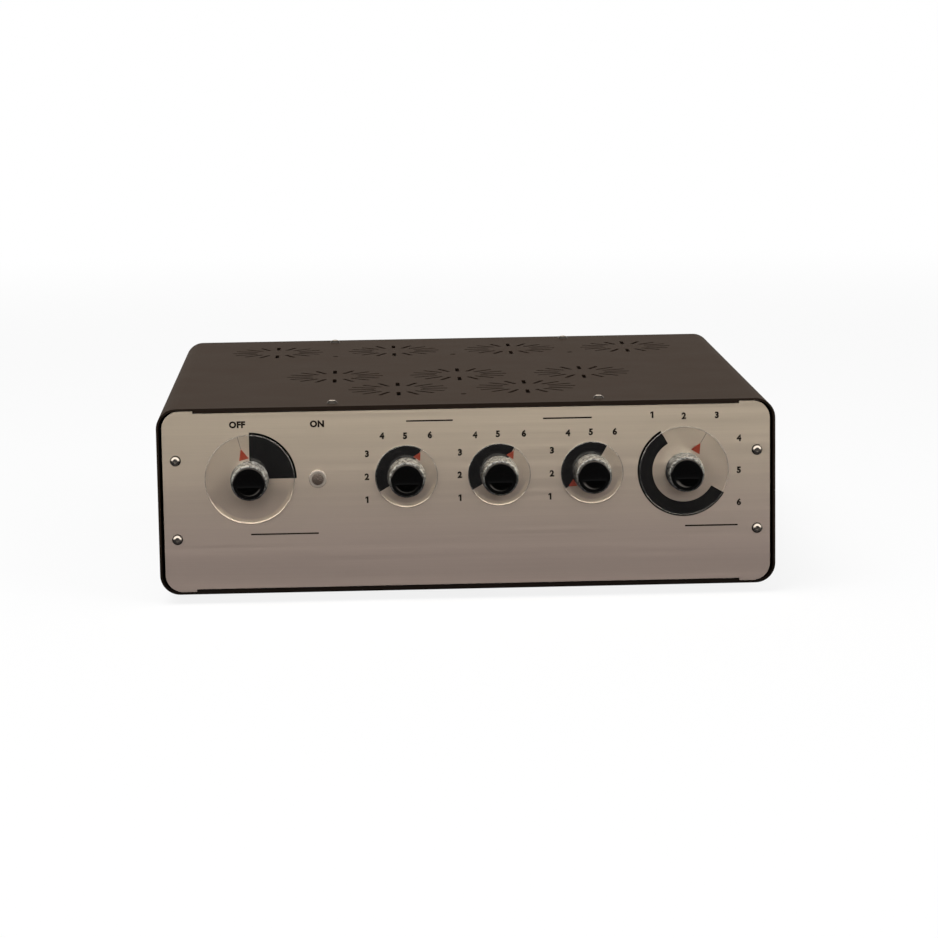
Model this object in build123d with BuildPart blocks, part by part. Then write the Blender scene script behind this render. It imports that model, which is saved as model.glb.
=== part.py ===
from build123d import *
from math import cos, radians, sqrt, tan
import os

# Phono preamp in a full-width metal case.  Millimetres, +Z up, the front faces -Y and +X is
# to the right seen from the front.  The origin is the middle of the whole outline, at the
# height of the surface that the feet stand on.

# ------------------------------------------------------------------ driving dimensions
# Case
CASE_WIDTH = 430.0
CASE_HEIGHT = 130.4
CASE_DEPTH = 410.0
CASE_CORNER = 13.9  # outer radius of the four long edges
COVER_SHEET = 1.5
COVER_SEAM_HEIGHT = 65.2  # the two covers meet half way up the sides
COVER_SEAM_GAP = 0.4
HEM_END_INSET = 25.5  # from the side of the case to the end of a folded hem
HEM_DROP = 1.7  # how far a hem hangs below the inside of its cover
HEM_DEPTH = 8.0
HEM_CLEARANCE = 0.3  # round a hem, in the panel's relief

# Panels
FRONT_PANEL_SHEET = 3.0
REAR_PANEL_SHEET = 2.0
PANEL_RECESS = 0.5  # panel face behind the edge of the covers
PANEL_SIDE_GAP = 2.3
PANEL_EDGE_GAP = 0.3
PANEL_SCREW_INSET = 12.8  # from the side of the case
PANEL_SCREW_LOW = 38.9  # heights above the underside of the case
PANEL_SCREW_HIGH = 94.2

# Inner frame
FRAME_SHEET = 2.0
FRAME_INSET = 17.0  # outer face of a frame's web, from the side of the case
FRAME_FLANGE_END_GAP = 14.0  # flange ends stay clear of the rounded corners
BAR_SIZE = 10.0
COVER_SCREW_SETBACK = 16.0  # from the front and rear edges of the case
COVER_SCREW_X = 93.0
DECK_SHEET = 1.5
DECK_HEIGHT = 20.0  # underside, above the underside of the case
DECK_END_GAP = 24.0  # from the front and rear edges of the case
DECK_FLANGE = 12.0
DECK_SCREW_SPACING = 150.0

# Vents in the top cover: rosettes of radial slots
VENT_SLOT_COUNT = 16
VENT_SLOT_WIDTH = 2.9
VENT_INNER_RADIUS = 17.0
VENT_OUTER_RADIUS = 36.0
VENT_SPACING = 92.0
VENT_ROW_PLACES = (88.0, 168.0, 328.0)  # from the front edge
VENT_ROW_COUNTS = (2, 3, 4)
PLAIN_HOLE_RADIUS = 2.25
PLAIN_HOLE_FRONT = 53.5
PLAIN_HOLE_REAR = 297.0

# Feet
FOOT_HEIGHT = 7.0
FOOT_RADIUS = 11.0
FOOT_TAPER = 1.0
FOOT_INSET_X = 40.0
FOOT_INSET_Y = 52.0
FOOT_RECESS_RADIUS = 4.6
FOOT_WEB = 2.5  # rubber left above the screw head

# M4 button-head screws with a hexagon socket
SCREW_RADIUS = 2.0
SCREW_HEAD_RADIUS = 3.8
SCREW_HEAD_HEIGHT = 2.2
SCREW_HEAD_FLAT_RADIUS = 1.7
SCREW_SHOULDER_RADIUS = 3.0  # a point half way up the head's round
SCREW_SHOULDER_HEIGHT = 1.5
SCREW_SOCKET_FLATS = 2.5
SCREW_SOCKET_DEPTH = 1.3
SCREW_CLEARANCE = 0.2
THREAD_FIT = 0.05  # plain hole in place of a thread, round what is screwed into it
SCREW_LENGTH = 8.0
FOOT_SCREW_LENGTH = 8.0
M4_NUT_FLATS = 7.0
M4_NUT_HEIGHT = 3.2

# Controls
CONTROL_HEIGHT = 80.6  # shaft axes above the underside of the case
POWER_X = -151.0
LOW_X = -42.4
EQUALISER_PITCH = 64.6
SOURCE_X = 151.0
SHAFT_RADIUS = 3.0
SHAFT_FIT = 0.05
BUSHING_RADIUS = 4.75
BUSHING_CLEARANCE = 0.25
BUSHING_REACH = 4.6  # in front of the panel
LOCK_WASHER_RADIUS = 7.0
LOCK_WASHER_SHEET = 0.4
LOCK_NUT_FLATS = 12.0
LOCK_NUT_HEIGHT = 2.0
DIAL_GAP = 1.2  # panel to dial
DIAL_SHEET = 1.5
DIAL_LARGE_RADIUS = 31.2
DIAL_SMALL_RADIUS = 21.8
DIAL_EDGE = 0.4
NUT_CLEARANCE = 0.8  # round the lock nut, inside the dial and the knob
KNOB_BASE_RADIUS = 13.0
KNOB_TIP_RADIUS = 12.1
KNOB_LENGTH = 17.3
KNOB_BORE_DEPTH = 12.0  # shaft end, from the back of the knob
KNOB_EDGE = 0.5
CAP_RADIUS = 11.1
CAP_SEAT = 2.0  # depth of the cap's seat in the knob
CAP_RISE = 2.3  # edge of the cap in front of the knob's rim
CAP_EDGE = 0.8
CAP_DISH_RADIUS = 9.2
CAP_DISH_DEPTH = 1.2

# Rotary switches
SWITCH_PLATE = 30.0
SWITCH_PLATE_SHEET = 1.5
SWITCH_POST_X = 11.0
SWITCH_POST_RADIUS = 1.5
WAFER_RADIUS = 15.0
WAFER_SHEET = 1.6
WAFER_FIRST = 9.0  # from the back of the switch plate
WAFER_STEP = 9.0
WAFER_COUNT = 2
WAFER_FIT = 0.1
SHAFT_TAIL_CLEARANCE = 0.6
SHAFT_TAIL = 1.0  # shaft behind the last wafer
MAINS_SWITCH_WIDTH = 30.0
MAINS_SWITCH_HEIGHT = 34.0
MAINS_SWITCH_BASE = 5.0  # behind the end of the shaft's bore
MAINS_SWITCH_EDGE = 2.0
MAINS_TERMINAL = 6.0  # blade length
MAINS_TERMINAL_WIDTH = 5.0
MAINS_TERMINAL_SHEET = 0.8
MAINS_TERMINAL_SPACING_X = 18.0
MAINS_TERMINAL_SPACING_Z = 20.4

# Pilot lamp
LAMP_X = -103.9
LAMP_HEIGHT = 79.8
LAMP_RADIUS = 4.0
LAMP_DOME = 1.2
LAMP_STAND = 0.4  # edge of the lens in front of the collar
LAMP_RIM = 0.6
LAMP_LEAD_RADIUS = 0.35
LAMP_LEAD_SPACING = 2.54
LAMP_LEAD_LENGTH = 10.0
COLLAR_RADIUS = 6.3
COLLAR_HEIGHT = 2.0
COLLAR_EDGE = 1.2
COLLAR_WALL = 0.9  # neck through the panel
COLLAR_FIT = 0.1
COLLAR_TAIL = 3.0

# Mains transformer: laminated core, one coil on its middle limb and a strap over it
CORE_LIMB = 16.0  # outer limbs and yokes; the middle limb is twice as wide
CORE_WINDOW_HEIGHT = 48.0
CORE_STACK = 40.0
COIL_CLEARANCE = 0.3
COIL_CORNER = 6.0
STRAP_SHEET = 1.5
STRAP_WIDTH = 22.0
STRAP_FOOT = 13.0
TRANSFORMER_FROM_SIDE = 93.0  # from the left side of the case to the middle of the core
TRANSFORMER_FROM_REAR = 120.0

# Circuit boards on pillars that are clinched into the deck
BOARD_SHEET = 1.6
PILLAR_HEIGHT = 8.0
PILLAR_RADIUS = 3.0
PILLAR_INSET = 7.0
POWER_BOARD_WIDTH = 110.0
POWER_BOARD_LENGTH = 90.0
POWER_BOARD_FROM_SIDE = 93.0
POWER_BOARD_FROM_FRONT = 140.0
AUDIO_BOARD_WIDTH = 200.0
AUDIO_BOARD_LENGTH = 190.0
AUDIO_BOARD_X = 66.0
AUDIO_BOARD_FROM_FRONT = 200.0
FILTER_CAN_RADIUS = 12.5
FILTER_CAN_HEIGHT = 42.0
FILTER_CAN_SPACING = 32.0
FILTER_COLUMN_COUNT = 3
FILTER_ROW_COUNT = 2
FILTER_CAN_EDGE = 1.5
COUPLER_LENGTH = 26.0
COUPLER_WIDTH = 11.0
COUPLER_HEIGHT = 20.0
COUPLER_SPACING = 42.0
COUPLER_COUNT = 4
COUPLER_EDGE = 1.0

# Valves
VALVE_SPACING = 54.0
VALVE_ROW_SPACING = 84.0
VALVE_SOCKET_RADIUS = 11.5
VALVE_SOCKET_HEIGHT = 11.0
VALVE_SOCKET_EDGE = 1.0
VALVE_RADIUS = 10.5
VALVE_GLASS = 1.0
VALVE_HEIGHT = 46.0
VALVE_DOME = 7.0
VALVE_TIP = 3.0
VALVE_TIP_RADIUS = 1.6
ANODE_RADIUS = 5.0
ANODE_HEIGHT = 22.0
ANODE_FOOT = 8.0  # support wires below the anode
MICA_RADIUS = 8.6
MICA_SHEET = 0.6
SUPPORT_RADIUS = 0.5
SUPPORT_SPACING = 7.0

# Phono sockets at the rear
SOCKET_PITCH = 24.0
SOCKET_COUNT = 6
SOCKET_FIRST_X = 50.0
SOCKET_OUTPUT_X = 2.0
SOCKET_ROW_LOW = 56.0  # above the underside of the case
SOCKET_ROW_HIGH = 82.0
SOCKET_RADIUS = 4.15
SOCKET_BORE_RADIUS = 3.3
SOCKET_LENGTH = 9.5  # in front of the rear panel
SOCKET_FLANGE_RADIUS = 6.2
SOCKET_FLANGE = 1.8
SOCKET_NECK_RADIUS = 3.9
SOCKET_NECK_LENGTH = 8.0  # behind the outer face of the rear panel
SOCKET_NECK_FIT = 0.1
SOCKET_FACE_DEPTH = 0.5  # insulator below the mouth
SOCKET_NUT_FLATS = 11.0
SOCKET_NUT_HEIGHT = 2.0
CONTACT_RADIUS = 2.0
CONTACT_BORE_RADIUS = 1.62
CONTACT_BORE_DEPTH = 12.0
CONTACT_TAIL = 3.0

# Mains inlet with a fuse drawer below it
INLET_X = -150.0
INLET_HEIGHT = 69.0
INLET_BODY_WIDTH = 30.0
INLET_BODY_HEIGHT = 36.0
INLET_DEPTH = 31.0  # from the outer face of the flange
INLET_FLANGE = 3.0
INLET_FLANGE_LIP = 3.0
INLET_FLANGE_CORNER = 2.5
INLET_FIT = 0.3
INLET_CAVITY_WIDTH = 25.0
INLET_CAVITY_HEIGHT = 17.0
INLET_CAVITY_DEPTH = 17.0
INLET_CAVITY_CORNER = 4.0
INLET_CAVITY_RISE = 7.5  # middle of the cavity above the middle of the inlet
INLET_PIN_WIDTH = 2.0
INLET_PIN_HEIGHT = 4.0
INLET_PIN_LENGTH = 14.0
INLET_PIN_SPACING = 7.0
INLET_PIN_STAGGER = 2.0
INLET_TAB = 8.0
DRAWER_WIDTH = 22.0
DRAWER_HEIGHT = 10.0
DRAWER_DEPTH = 25.0
DRAWER_DROP = 9.8  # middle of the drawer below the middle of the inlet
DRAWER_FIT = 0.3
DRAWER_FACE = 1.6
DRAWER_FACE_GAP = 0.1  # face plate to the inlet's flange
DRAWER_FACE_LIP = 1.0
DRAWER_GRIP = 2.0
DRAWER_GRIP_WIDTH = 11.0
FUSE_RADIUS = 2.6
FUSE_LENGTH = 20.0
FUSE_SPACING = 10.0
FUSE_FIT = 0.1
FUSE_CAP_LENGTH = 5.0
FUSE_CAP_STEP = 0.2

# Earth terminal
GROUND_X = 26.0
GROUND_HEIGHT = 69.0
GROUND_STUD_RADIUS = 2.0
GROUND_STUD_FIT = 0.05
GROUND_COLLAR_RADIUS = 5.0
GROUND_COLLAR = 3.0
GROUND_WASHER_RADIUS = 5.5
GROUND_WASHER = 1.0
GROUND_NUT_RADIUS = 6.0
GROUND_NUT_LENGTH = 8.0
GROUND_NUT_EDGE = 0.6
GROUND_NUT_TRAVEL = 2.8
GROUND_STUD_END = 1.2  # stud beyond the nut when the nut is fully out
GROUND_FACE_GAP = 0.05

# Wiring
LOOM_RADIUS = 3.0
LOOM_SIDE_GAP = 7.0  # loom's surface to the inside of a frame's web
LOOM_TAIL = 20.0  # straight run at each end
LOOM_SHIFT = 25.0  # how far along the case a loom moves over to its side
SIGNAL_LEAD_DROP = 9.0  # signal loom's end below the shaft axis
LOOM_ARC_SHARE = 0.45

# ------------------------------------------------------------------ places worked out from them
PANEL_WIDTH = CASE_WIDTH - 2 * (COVER_SHEET + PANEL_SIDE_GAP)
PANEL_HEIGHT = CASE_HEIGHT - 2 * (COVER_SHEET + PANEL_EDGE_GAP)
PANEL_CORNER = CASE_CORNER - COVER_SHEET - PANEL_EDGE_GAP
HEM_LENGTH = CASE_WIDTH - 2 * HEM_END_INSET
INSIDE_TOP = CASE_HEIGHT - COVER_SHEET
MIDDLE = CASE_HEIGHT / 2
WEB_INSIDE = CASE_WIDTH / 2 - FRAME_INSET - FRAME_SHEET
DECK_TOP = DECK_HEIGHT + DECK_SHEET
BOARD_TOP = DECK_TOP + PILLAR_HEIGHT + BOARD_SHEET

KNOB_BACK = DIAL_GAP + DIAL_SHEET  # in front of the panel face
KNOB_RIM = KNOB_BACK + KNOB_LENGTH
KNOB_REACH = KNOB_RIM + CAP_RISE - PANEL_RECESS  # in front of the covers' edge
GROUND_STACK = GROUND_COLLAR + GROUND_WASHER + GROUND_NUT_LENGTH
GROUND_STUD_REACH = GROUND_STACK + GROUND_NUT_TRAVEL + GROUND_STUD_END
INLET_REACH = INLET_FLANGE + DRAWER_FACE_GAP + DRAWER_FACE + DRAWER_GRIP
REAR_REACH = max(GROUND_STUD_REACH, SOCKET_LENGTH, INLET_REACH) - PANEL_RECESS

CASE_Z = FOOT_HEIGHT
FRONT_Y = (KNOB_REACH - REAR_REACH - CASE_DEPTH) / 2  # front edge of the covers
REAR_Y = FRONT_Y + CASE_DEPTH
PANEL_Y = FRONT_Y + PANEL_RECESS
PANEL_BACK_Y = PANEL_Y + FRONT_PANEL_SHEET
REAR_FACE_Y = REAR_Y - PANEL_RECESS
REAR_BACK_Y = REAR_FACE_Y - REAR_PANEL_SHEET
SWITCH_BACK_Y = PANEL_BACK_Y + SWITCH_PLATE_SHEET
SHAFT_END_Y = SWITCH_BACK_Y + WAFER_FIRST + (WAFER_COUNT - 1) * WAFER_STEP + WAFER_SHEET + SHAFT_TAIL
TRANSFORMER_X = TRANSFORMER_FROM_SIDE - CASE_WIDTH / 2
TRANSFORMER_Y = REAR_BACK_Y - TRANSFORMER_FROM_REAR
POWER_BOARD_X = POWER_BOARD_FROM_SIDE - CASE_WIDTH / 2
POWER_BOARD_Y = FRONT_Y + POWER_BOARD_FROM_FRONT
AUDIO_BOARD_Y = FRONT_Y + AUDIO_BOARD_FROM_FRONT
CORE_WIDTH = 6 * CORE_LIMB
CORE_HEIGHT = CORE_WINDOW_HEIGHT + 2 * CORE_LIMB
STRAP_SCREW_X = CORE_WIDTH / 2 + STRAP_SHEET + STRAP_FOOT / 2
STRAP_SCREW_SPOTS = [(TRANSFORMER_X + side * STRAP_SCREW_X, TRANSFORMER_Y) for side in (-1, 1)]

CONTROLS = (
    ("power", POWER_X, DIAL_LARGE_RADIUS),
    ("low", LOW_X, DIAL_SMALL_RADIUS),
    ("mid", LOW_X + EQUALISER_PITCH, DIAL_SMALL_RADIUS),
    ("high", LOW_X + 2 * EQUALISER_PITCH, DIAL_SMALL_RADIUS),
    ("source", SOURCE_X, DIAL_LARGE_RADIUS),
)
SIGNAL_CONTROLS = CONTROLS[1:]
PANEL_SCREW_X = CASE_WIDTH / 2 - PANEL_SCREW_INSET
PANEL_SCREW_SPOTS = [
    (side * PANEL_SCREW_X, height) for side in (-1, 1) for height in (PANEL_SCREW_LOW, PANEL_SCREW_HIGH)
]
BAR_YS = (FRONT_Y + COVER_SCREW_SETBACK, REAR_Y - COVER_SCREW_SETBACK)
BAR_ZS = (COVER_SHEET + BAR_SIZE / 2, INSIDE_TOP - BAR_SIZE / 2)
COVER_SCREW_SPOTS = [(side * COVER_SCREW_X, y) for side in (-1, 1) for y in BAR_YS]
DECK_SCREW_YS = [(FRONT_Y + REAR_Y) / 2 + step * DECK_SCREW_SPACING for step in (-1, 0, 1)]
DECK_SCREW_HEIGHT = DECK_TOP + DECK_FLANGE / 2
FOOT_SPOTS = [
    (side * (CASE_WIDTH / 2 - FOOT_INSET_X), y)
    for side in (-1, 1)
    for y in (FRONT_Y + FOOT_INSET_Y, REAR_Y - FOOT_INSET_Y)
]
SOCKET_COLUMNS = [SOCKET_OUTPUT_X] + [SOCKET_FIRST_X + SOCKET_PITCH * step for step in range(SOCKET_COUNT)]
SOCKET_SPOTS = [(x, height) for x in SOCKET_COLUMNS for height in (SOCKET_ROW_LOW, SOCKET_ROW_HIGH)]
VALVE_SPOTS = [
    (AUDIO_BOARD_X + column * VALVE_SPACING, AUDIO_BOARD_Y + row * VALVE_ROW_SPACING / 2)
    for row in (-1, 1)
    for column in (-1, 0, 1)
]
BOARDS = (
    (POWER_BOARD_X, POWER_BOARD_Y, POWER_BOARD_WIDTH, POWER_BOARD_LENGTH),
    (AUDIO_BOARD_X, AUDIO_BOARD_Y, AUDIO_BOARD_WIDTH, AUDIO_BOARD_LENGTH),
)

os.makedirs("parts", exist_ok=True)


# ------------------------------------------------------------------ helpers
def facing_front(y, x=0.0, height=0.0):
    """Plane across the case at y, facing the front: its x is +X and its y is +Z."""
    return Plane(origin=(x, y, CASE_Z + height), x_dir=(1, 0, 0), z_dir=(0, -1, 0))


def facing_rear(y, x=0.0, height=0.0):
    """Plane across the case at y, facing the rear: its x is -X and its y is +Z."""
    return Plane(origin=(x, y, CASE_Z + height), x_dir=(-1, 0, 0), z_dir=(0, 1, 0))


def level(height):
    """Horizontal plane at a height above the underside of the case."""
    return Plane.XY.offset(CASE_Z + height)


def keep(builder, name):
    """Label a finished piece and write it as a STEP file."""
    builder.part.label = name
    export_step(builder.part, f"parts/{name}.step")


def crown_middle(radius, rise):
    """Height, half way out, of a round crown that rises from its rim to its middle."""
    sphere = (radius**2 + rise**2) / (2 * rise)
    return rise - sphere + sqrt(sphere**2 - (radius / 2) ** 2)


def button_screw(length):
    """Button-head screw: its head stands on the XY plane and its shank points down."""
    with BuildPart() as screw:
        with BuildSketch(Plane.XZ):
            with BuildLine():
                Polyline((0, -length), (SCREW_RADIUS, -length), (SCREW_RADIUS, 0), (SCREW_HEAD_RADIUS, 0))
                ThreePointArc(
                    (SCREW_HEAD_RADIUS, 0),
                    (SCREW_SHOULDER_RADIUS, SCREW_SHOULDER_HEIGHT),
                    (SCREW_HEAD_FLAT_RADIUS, SCREW_HEAD_HEIGHT),
                )
                Polyline((SCREW_HEAD_FLAT_RADIUS, SCREW_HEAD_HEIGHT), (0, SCREW_HEAD_HEIGHT), (0, -length))
            make_face()
        revolve(axis=Axis.Z)
        with BuildSketch(Plane.XY.offset(SCREW_HEAD_HEIGHT)):
            RegularPolygon(SCREW_SOCKET_FLATS / 2, 6, major_radius=False)
        extrude(amount=-SCREW_SOCKET_DEPTH, mode=Mode.SUBTRACT)
    return screw.part


def hem_notches():
    """Cut, in a panel's sketch, the relief for the covers' folded hems."""
    relief = HEM_DROP - PANEL_EDGE_GAP + HEM_CLEARANCE
    for edge, align in ((MIDDLE - PANEL_HEIGHT / 2, Align.MIN), (MIDDLE + PANEL_HEIGHT / 2, Align.MAX)):
        with Locations((0, edge)):
            Rectangle(
                HEM_LENGTH + 2 * HEM_CLEARANCE, relief, align=(Align.CENTER, align), mode=Mode.SUBTRACT
            )


def panel_outline():
    """Draw, in a sketch, a panel with rounded corners, hem reliefs and its four screw holes."""
    with Locations((0, MIDDLE)):
        RectangleRounded(PANEL_WIDTH, PANEL_HEIGHT, PANEL_CORNER)
    hem_notches()
    with Locations(*PANEL_SCREW_SPOTS):
        Circle(SCREW_RADIUS + SCREW_CLEARANCE, mode=Mode.SUBTRACT)


# ------------------------------------------------------------------ panels
with BuildPart() as front_panel:
    with BuildSketch(facing_front(PANEL_Y)):
        panel_outline()
        with Locations(*[(x, CONTROL_HEIGHT) for _, x, _ in CONTROLS]):
            Circle(BUSHING_RADIUS + BUSHING_CLEARANCE, mode=Mode.SUBTRACT)
        with Locations((LAMP_X, LAMP_HEIGHT)):
            Circle(LAMP_RADIUS + COLLAR_WALL + 2 * COLLAR_FIT, mode=Mode.SUBTRACT)
    extrude(amount=-FRONT_PANEL_SHEET)
keep(front_panel, "front_panel")

with BuildPart() as rear_panel:
    with BuildSketch(facing_front(REAR_BACK_Y)):
        panel_outline()
        with Locations((INLET_X, INLET_HEIGHT)):
            Rectangle(
                INLET_BODY_WIDTH + 2 * INLET_FIT, INLET_BODY_HEIGHT + 2 * INLET_FIT, mode=Mode.SUBTRACT
            )
        with Locations(*SOCKET_SPOTS):
            Circle(SOCKET_NECK_RADIUS + SOCKET_NECK_FIT, mode=Mode.SUBTRACT)
        with Locations((GROUND_X, GROUND_HEIGHT)):
            Circle(GROUND_STUD_RADIUS + SCREW_CLEARANCE, mode=Mode.SUBTRACT)
    extrude(amount=-REAR_PANEL_SHEET)
keep(rear_panel, "rear_panel")


# ------------------------------------------------------------------ covers
def cover_shell(side):
    """One half of the case's sleeve with its folded hems; side is 1 for the top, -1 for the bottom."""
    seam = COVER_SEAM_HEIGHT + side * COVER_SEAM_GAP / 2
    cut_align = Align.MAX if side > 0 else Align.MIN
    hem_edge = INSIDE_TOP if side > 0 else COVER_SHEET
    hem_align = Align.MAX if side > 0 else Align.MIN
    with BuildPart() as shell:
        with BuildSketch(facing_front(FRONT_Y)):
            with Locations((0, MIDDLE)):
                RectangleRounded(CASE_WIDTH, CASE_HEIGHT, CASE_CORNER)
                RectangleRounded(
                    CASE_WIDTH - 2 * COVER_SHEET,
                    CASE_HEIGHT - 2 * COVER_SHEET,
                    CASE_CORNER - COVER_SHEET,
                    mode=Mode.SUBTRACT,
                )
            with Locations((0, seam)):
                Rectangle(CASE_WIDTH, CASE_HEIGHT, align=(Align.CENTER, cut_align), mode=Mode.SUBTRACT)
        extrude(amount=-CASE_DEPTH)
        for hem_y in (FRONT_Y, REAR_Y - HEM_DEPTH):
            with BuildSketch(facing_front(hem_y)):
                with Locations((0, hem_edge)):
                    Rectangle(HEM_LENGTH, HEM_DROP, align=(Align.CENTER, hem_align))
            extrude(amount=-HEM_DEPTH)
    return shell.part


def vent_rosette():
    """Sketch of one rosette: slots with round ends along the spokes of a wheel."""
    slot_length = VENT_OUTER_RADIUS - VENT_INNER_RADIUS
    with BuildSketch() as rosette:
        with PolarLocations((VENT_INNER_RADIUS + VENT_OUTER_RADIUS) / 2, VENT_SLOT_COUNT):
            SlotOverall(slot_length, VENT_SLOT_WIDTH)
    return rosette.sketch


upper_shell = cover_shell(1)
lower_shell = cover_shell(-1)
rosette = vent_rosette()
vent_spots = [
    ((column - (count - 1) / 2) * VENT_SPACING, FRONT_Y + from_front)
    for from_front, count in zip(VENT_ROW_PLACES, VENT_ROW_COUNTS)
    for column in range(count)
]
plain_spots = [(0, FRONT_Y + PLAIN_HOLE_FRONT)]
plain_spots += [(step * VENT_SPACING, FRONT_Y + PLAIN_HOLE_REAR) for step in (-1, 0, 1)]

with BuildPart() as top_cover:
    add(upper_shell)
    with BuildSketch(level(CASE_HEIGHT)):
        with Locations(*vent_spots):
            add(rosette)
        with Locations(*plain_spots):
            Circle(PLAIN_HOLE_RADIUS)
        with Locations(*COVER_SCREW_SPOTS):
            Circle(SCREW_RADIUS + SCREW_CLEARANCE)
    extrude(amount=-COVER_SHEET, mode=Mode.SUBTRACT)
keep(top_cover, "top_cover")

with BuildPart() as bottom_cover:
    add(lower_shell)
    with BuildSketch(level(0)):
        with Locations(*COVER_SCREW_SPOTS, *FOOT_SPOTS):
            Circle(SCREW_RADIUS + SCREW_CLEARANCE)
    extrude(amount=COVER_SHEET, mode=Mode.SUBTRACT)
keep(bottom_cover, "bottom_cover")


# ------------------------------------------------------------------ inner frame
def side_frame(side):
    """Folded side frame: a web with an outward flange behind each panel."""
    web_x = side * (WEB_INSIDE + FRAME_SHEET / 2)
    flange_in = WEB_INSIDE
    flange_out = PANEL_WIDTH / 2
    with BuildPart() as frame:
        with BuildSketch(facing_front(PANEL_BACK_Y)):
            with Locations((web_x, MIDDLE)):
                Rectangle(FRAME_SHEET, INSIDE_TOP - COVER_SHEET)
        extrude(amount=-(REAR_BACK_Y - PANEL_BACK_Y))
        for flange_y in (PANEL_BACK_Y, REAR_BACK_Y - FRAME_SHEET):
            with BuildSketch(facing_front(flange_y)):
                with Locations((side * (flange_in + flange_out) / 2, MIDDLE)):
                    Rectangle(flange_out - flange_in, CASE_HEIGHT - 2 * FRAME_FLANGE_END_GAP)
                with Locations(*PANEL_SCREW_SPOTS):
                    Circle(SCREW_RADIUS + THREAD_FIT, mode=Mode.SUBTRACT)
            extrude(amount=-FRAME_SHEET)
        with BuildSketch(Plane.YZ.offset(side * WEB_INSIDE)):
            with Locations(*[(y, CASE_Z + height) for y in BAR_YS for height in BAR_ZS]):
                Circle(SCREW_RADIUS + SCREW_CLEARANCE)
            with Locations(*[(y, CASE_Z + DECK_SCREW_HEIGHT) for y in DECK_SCREW_YS]):
                Circle(SCREW_RADIUS + SCREW_CLEARANCE)
        extrude(amount=side * FRAME_SHEET, mode=Mode.SUBTRACT)
    return frame


keep(side_frame(-1), "left_frame")
keep(side_frame(1), "right_frame")

with BuildPart() as cross_bars:
    for bar_y in BAR_YS:
        for bar_height in BAR_ZS:
            toward_cover = 1 if bar_height > MIDDLE else -1
            with Locations((0, bar_y, CASE_Z + bar_height)):
                Box(2 * WEB_INSIDE, BAR_SIZE, BAR_SIZE)
            with BuildSketch(level(bar_height + toward_cover * BAR_SIZE / 2)):
                with Locations((-COVER_SCREW_X, bar_y), (COVER_SCREW_X, bar_y)):
                    Circle(SCREW_RADIUS + THREAD_FIT)
            extrude(amount=-toward_cover * BAR_SIZE, mode=Mode.SUBTRACT)
            for side in (-1, 1):
                with BuildSketch(Plane.YZ.offset(side * WEB_INSIDE)):
                    with Locations((bar_y, CASE_Z + bar_height)):
                        Circle(SCREW_RADIUS + THREAD_FIT)
                extrude(amount=-side * SCREW_LENGTH, mode=Mode.SUBTRACT)
keep(cross_bars, "cross_bars")

with BuildPart() as chassis_deck:
    with BuildSketch(facing_front(FRONT_Y + DECK_END_GAP)):
        with Locations((0, DECK_HEIGHT)):
            Rectangle(2 * WEB_INSIDE, DECK_SHEET, align=(Align.CENTER, Align.MIN))
        for side, align in ((-1, Align.MIN), (1, Align.MAX)):
            with Locations((side * WEB_INSIDE, DECK_HEIGHT)):
                Rectangle(DECK_SHEET, DECK_SHEET + DECK_FLANGE, align=(align, Align.MIN))
    extrude(amount=-(CASE_DEPTH - 2 * DECK_END_GAP))
    for side in (-1, 1):
        with BuildSketch(Plane.YZ.offset(side * WEB_INSIDE)):
            with Locations(*[(y, CASE_Z + DECK_SCREW_HEIGHT) for y in DECK_SCREW_YS]):
                Circle(SCREW_RADIUS + THREAD_FIT)
        extrude(amount=-side * DECK_SHEET, mode=Mode.SUBTRACT)
    with BuildSketch(level(DECK_TOP)):
        for board_x, board_y, board_width, board_length in BOARDS:
            with Locations((board_x, board_y)):
                with GridLocations(board_width - 2 * PILLAR_INSET, board_length - 2 * PILLAR_INSET, 2, 2):
                    Circle(PILLAR_RADIUS)
    extrude(amount=PILLAR_HEIGHT)
    with BuildSketch(level(DECK_TOP)):
        with Locations(*STRAP_SCREW_SPOTS):
            Circle(SCREW_RADIUS + THREAD_FIT)
    extrude(amount=-DECK_SHEET, mode=Mode.SUBTRACT)
keep(chassis_deck, "chassis_deck")

# ------------------------------------------------------------------ case screws and feet
case_screw = button_screw(SCREW_LENGTH)
foot_screw = button_screw(FOOT_SCREW_LENGTH)

with BuildPart() as panel_screws:
    with Locations(*[Location(facing_front(PANEL_Y, x, height)) for x, height in PANEL_SCREW_SPOTS]):
        add(case_screw)
    with Locations(*[Location(facing_rear(REAR_FACE_Y, x, height)) for x, height in PANEL_SCREW_SPOTS]):
        add(case_screw)
keep(panel_screws, "panel_screws")

with BuildPart() as top_cover_screws:
    with Locations(*[(x, y, CASE_Z + CASE_HEIGHT) for x, y in COVER_SCREW_SPOTS]):
        add(case_screw)
keep(top_cover_screws, "top_cover_screws")

foot_recess = FOOT_HEIGHT - FOOT_WEB  # underside of the foot to the screw head's seat


def facing_down(x, y, z):
    """Horizontal plane whose normal points down."""
    return Plane(origin=(x, y, z), x_dir=(1, 0, 0), z_dir=(0, 0, -1))


def foot_blank():
    """Round rubber foot, a little narrower at the floor, with a recess and a hole for its screw."""
    with BuildPart() as foot:
        with BuildSketch(Plane.XZ):
            with BuildLine():
                Polyline(
                    (FOOT_RECESS_RADIUS, 0),
                    (FOOT_RADIUS - FOOT_TAPER, 0),
                    (FOOT_RADIUS, FOOT_HEIGHT),
                    (SCREW_RADIUS + SCREW_CLEARANCE, FOOT_HEIGHT),
                    (SCREW_RADIUS + SCREW_CLEARANCE, foot_recess),
                    (FOOT_RECESS_RADIUS, foot_recess),
                    close=True,
                )
            make_face()
        revolve(axis=Axis.Z)
    return foot.part


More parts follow.
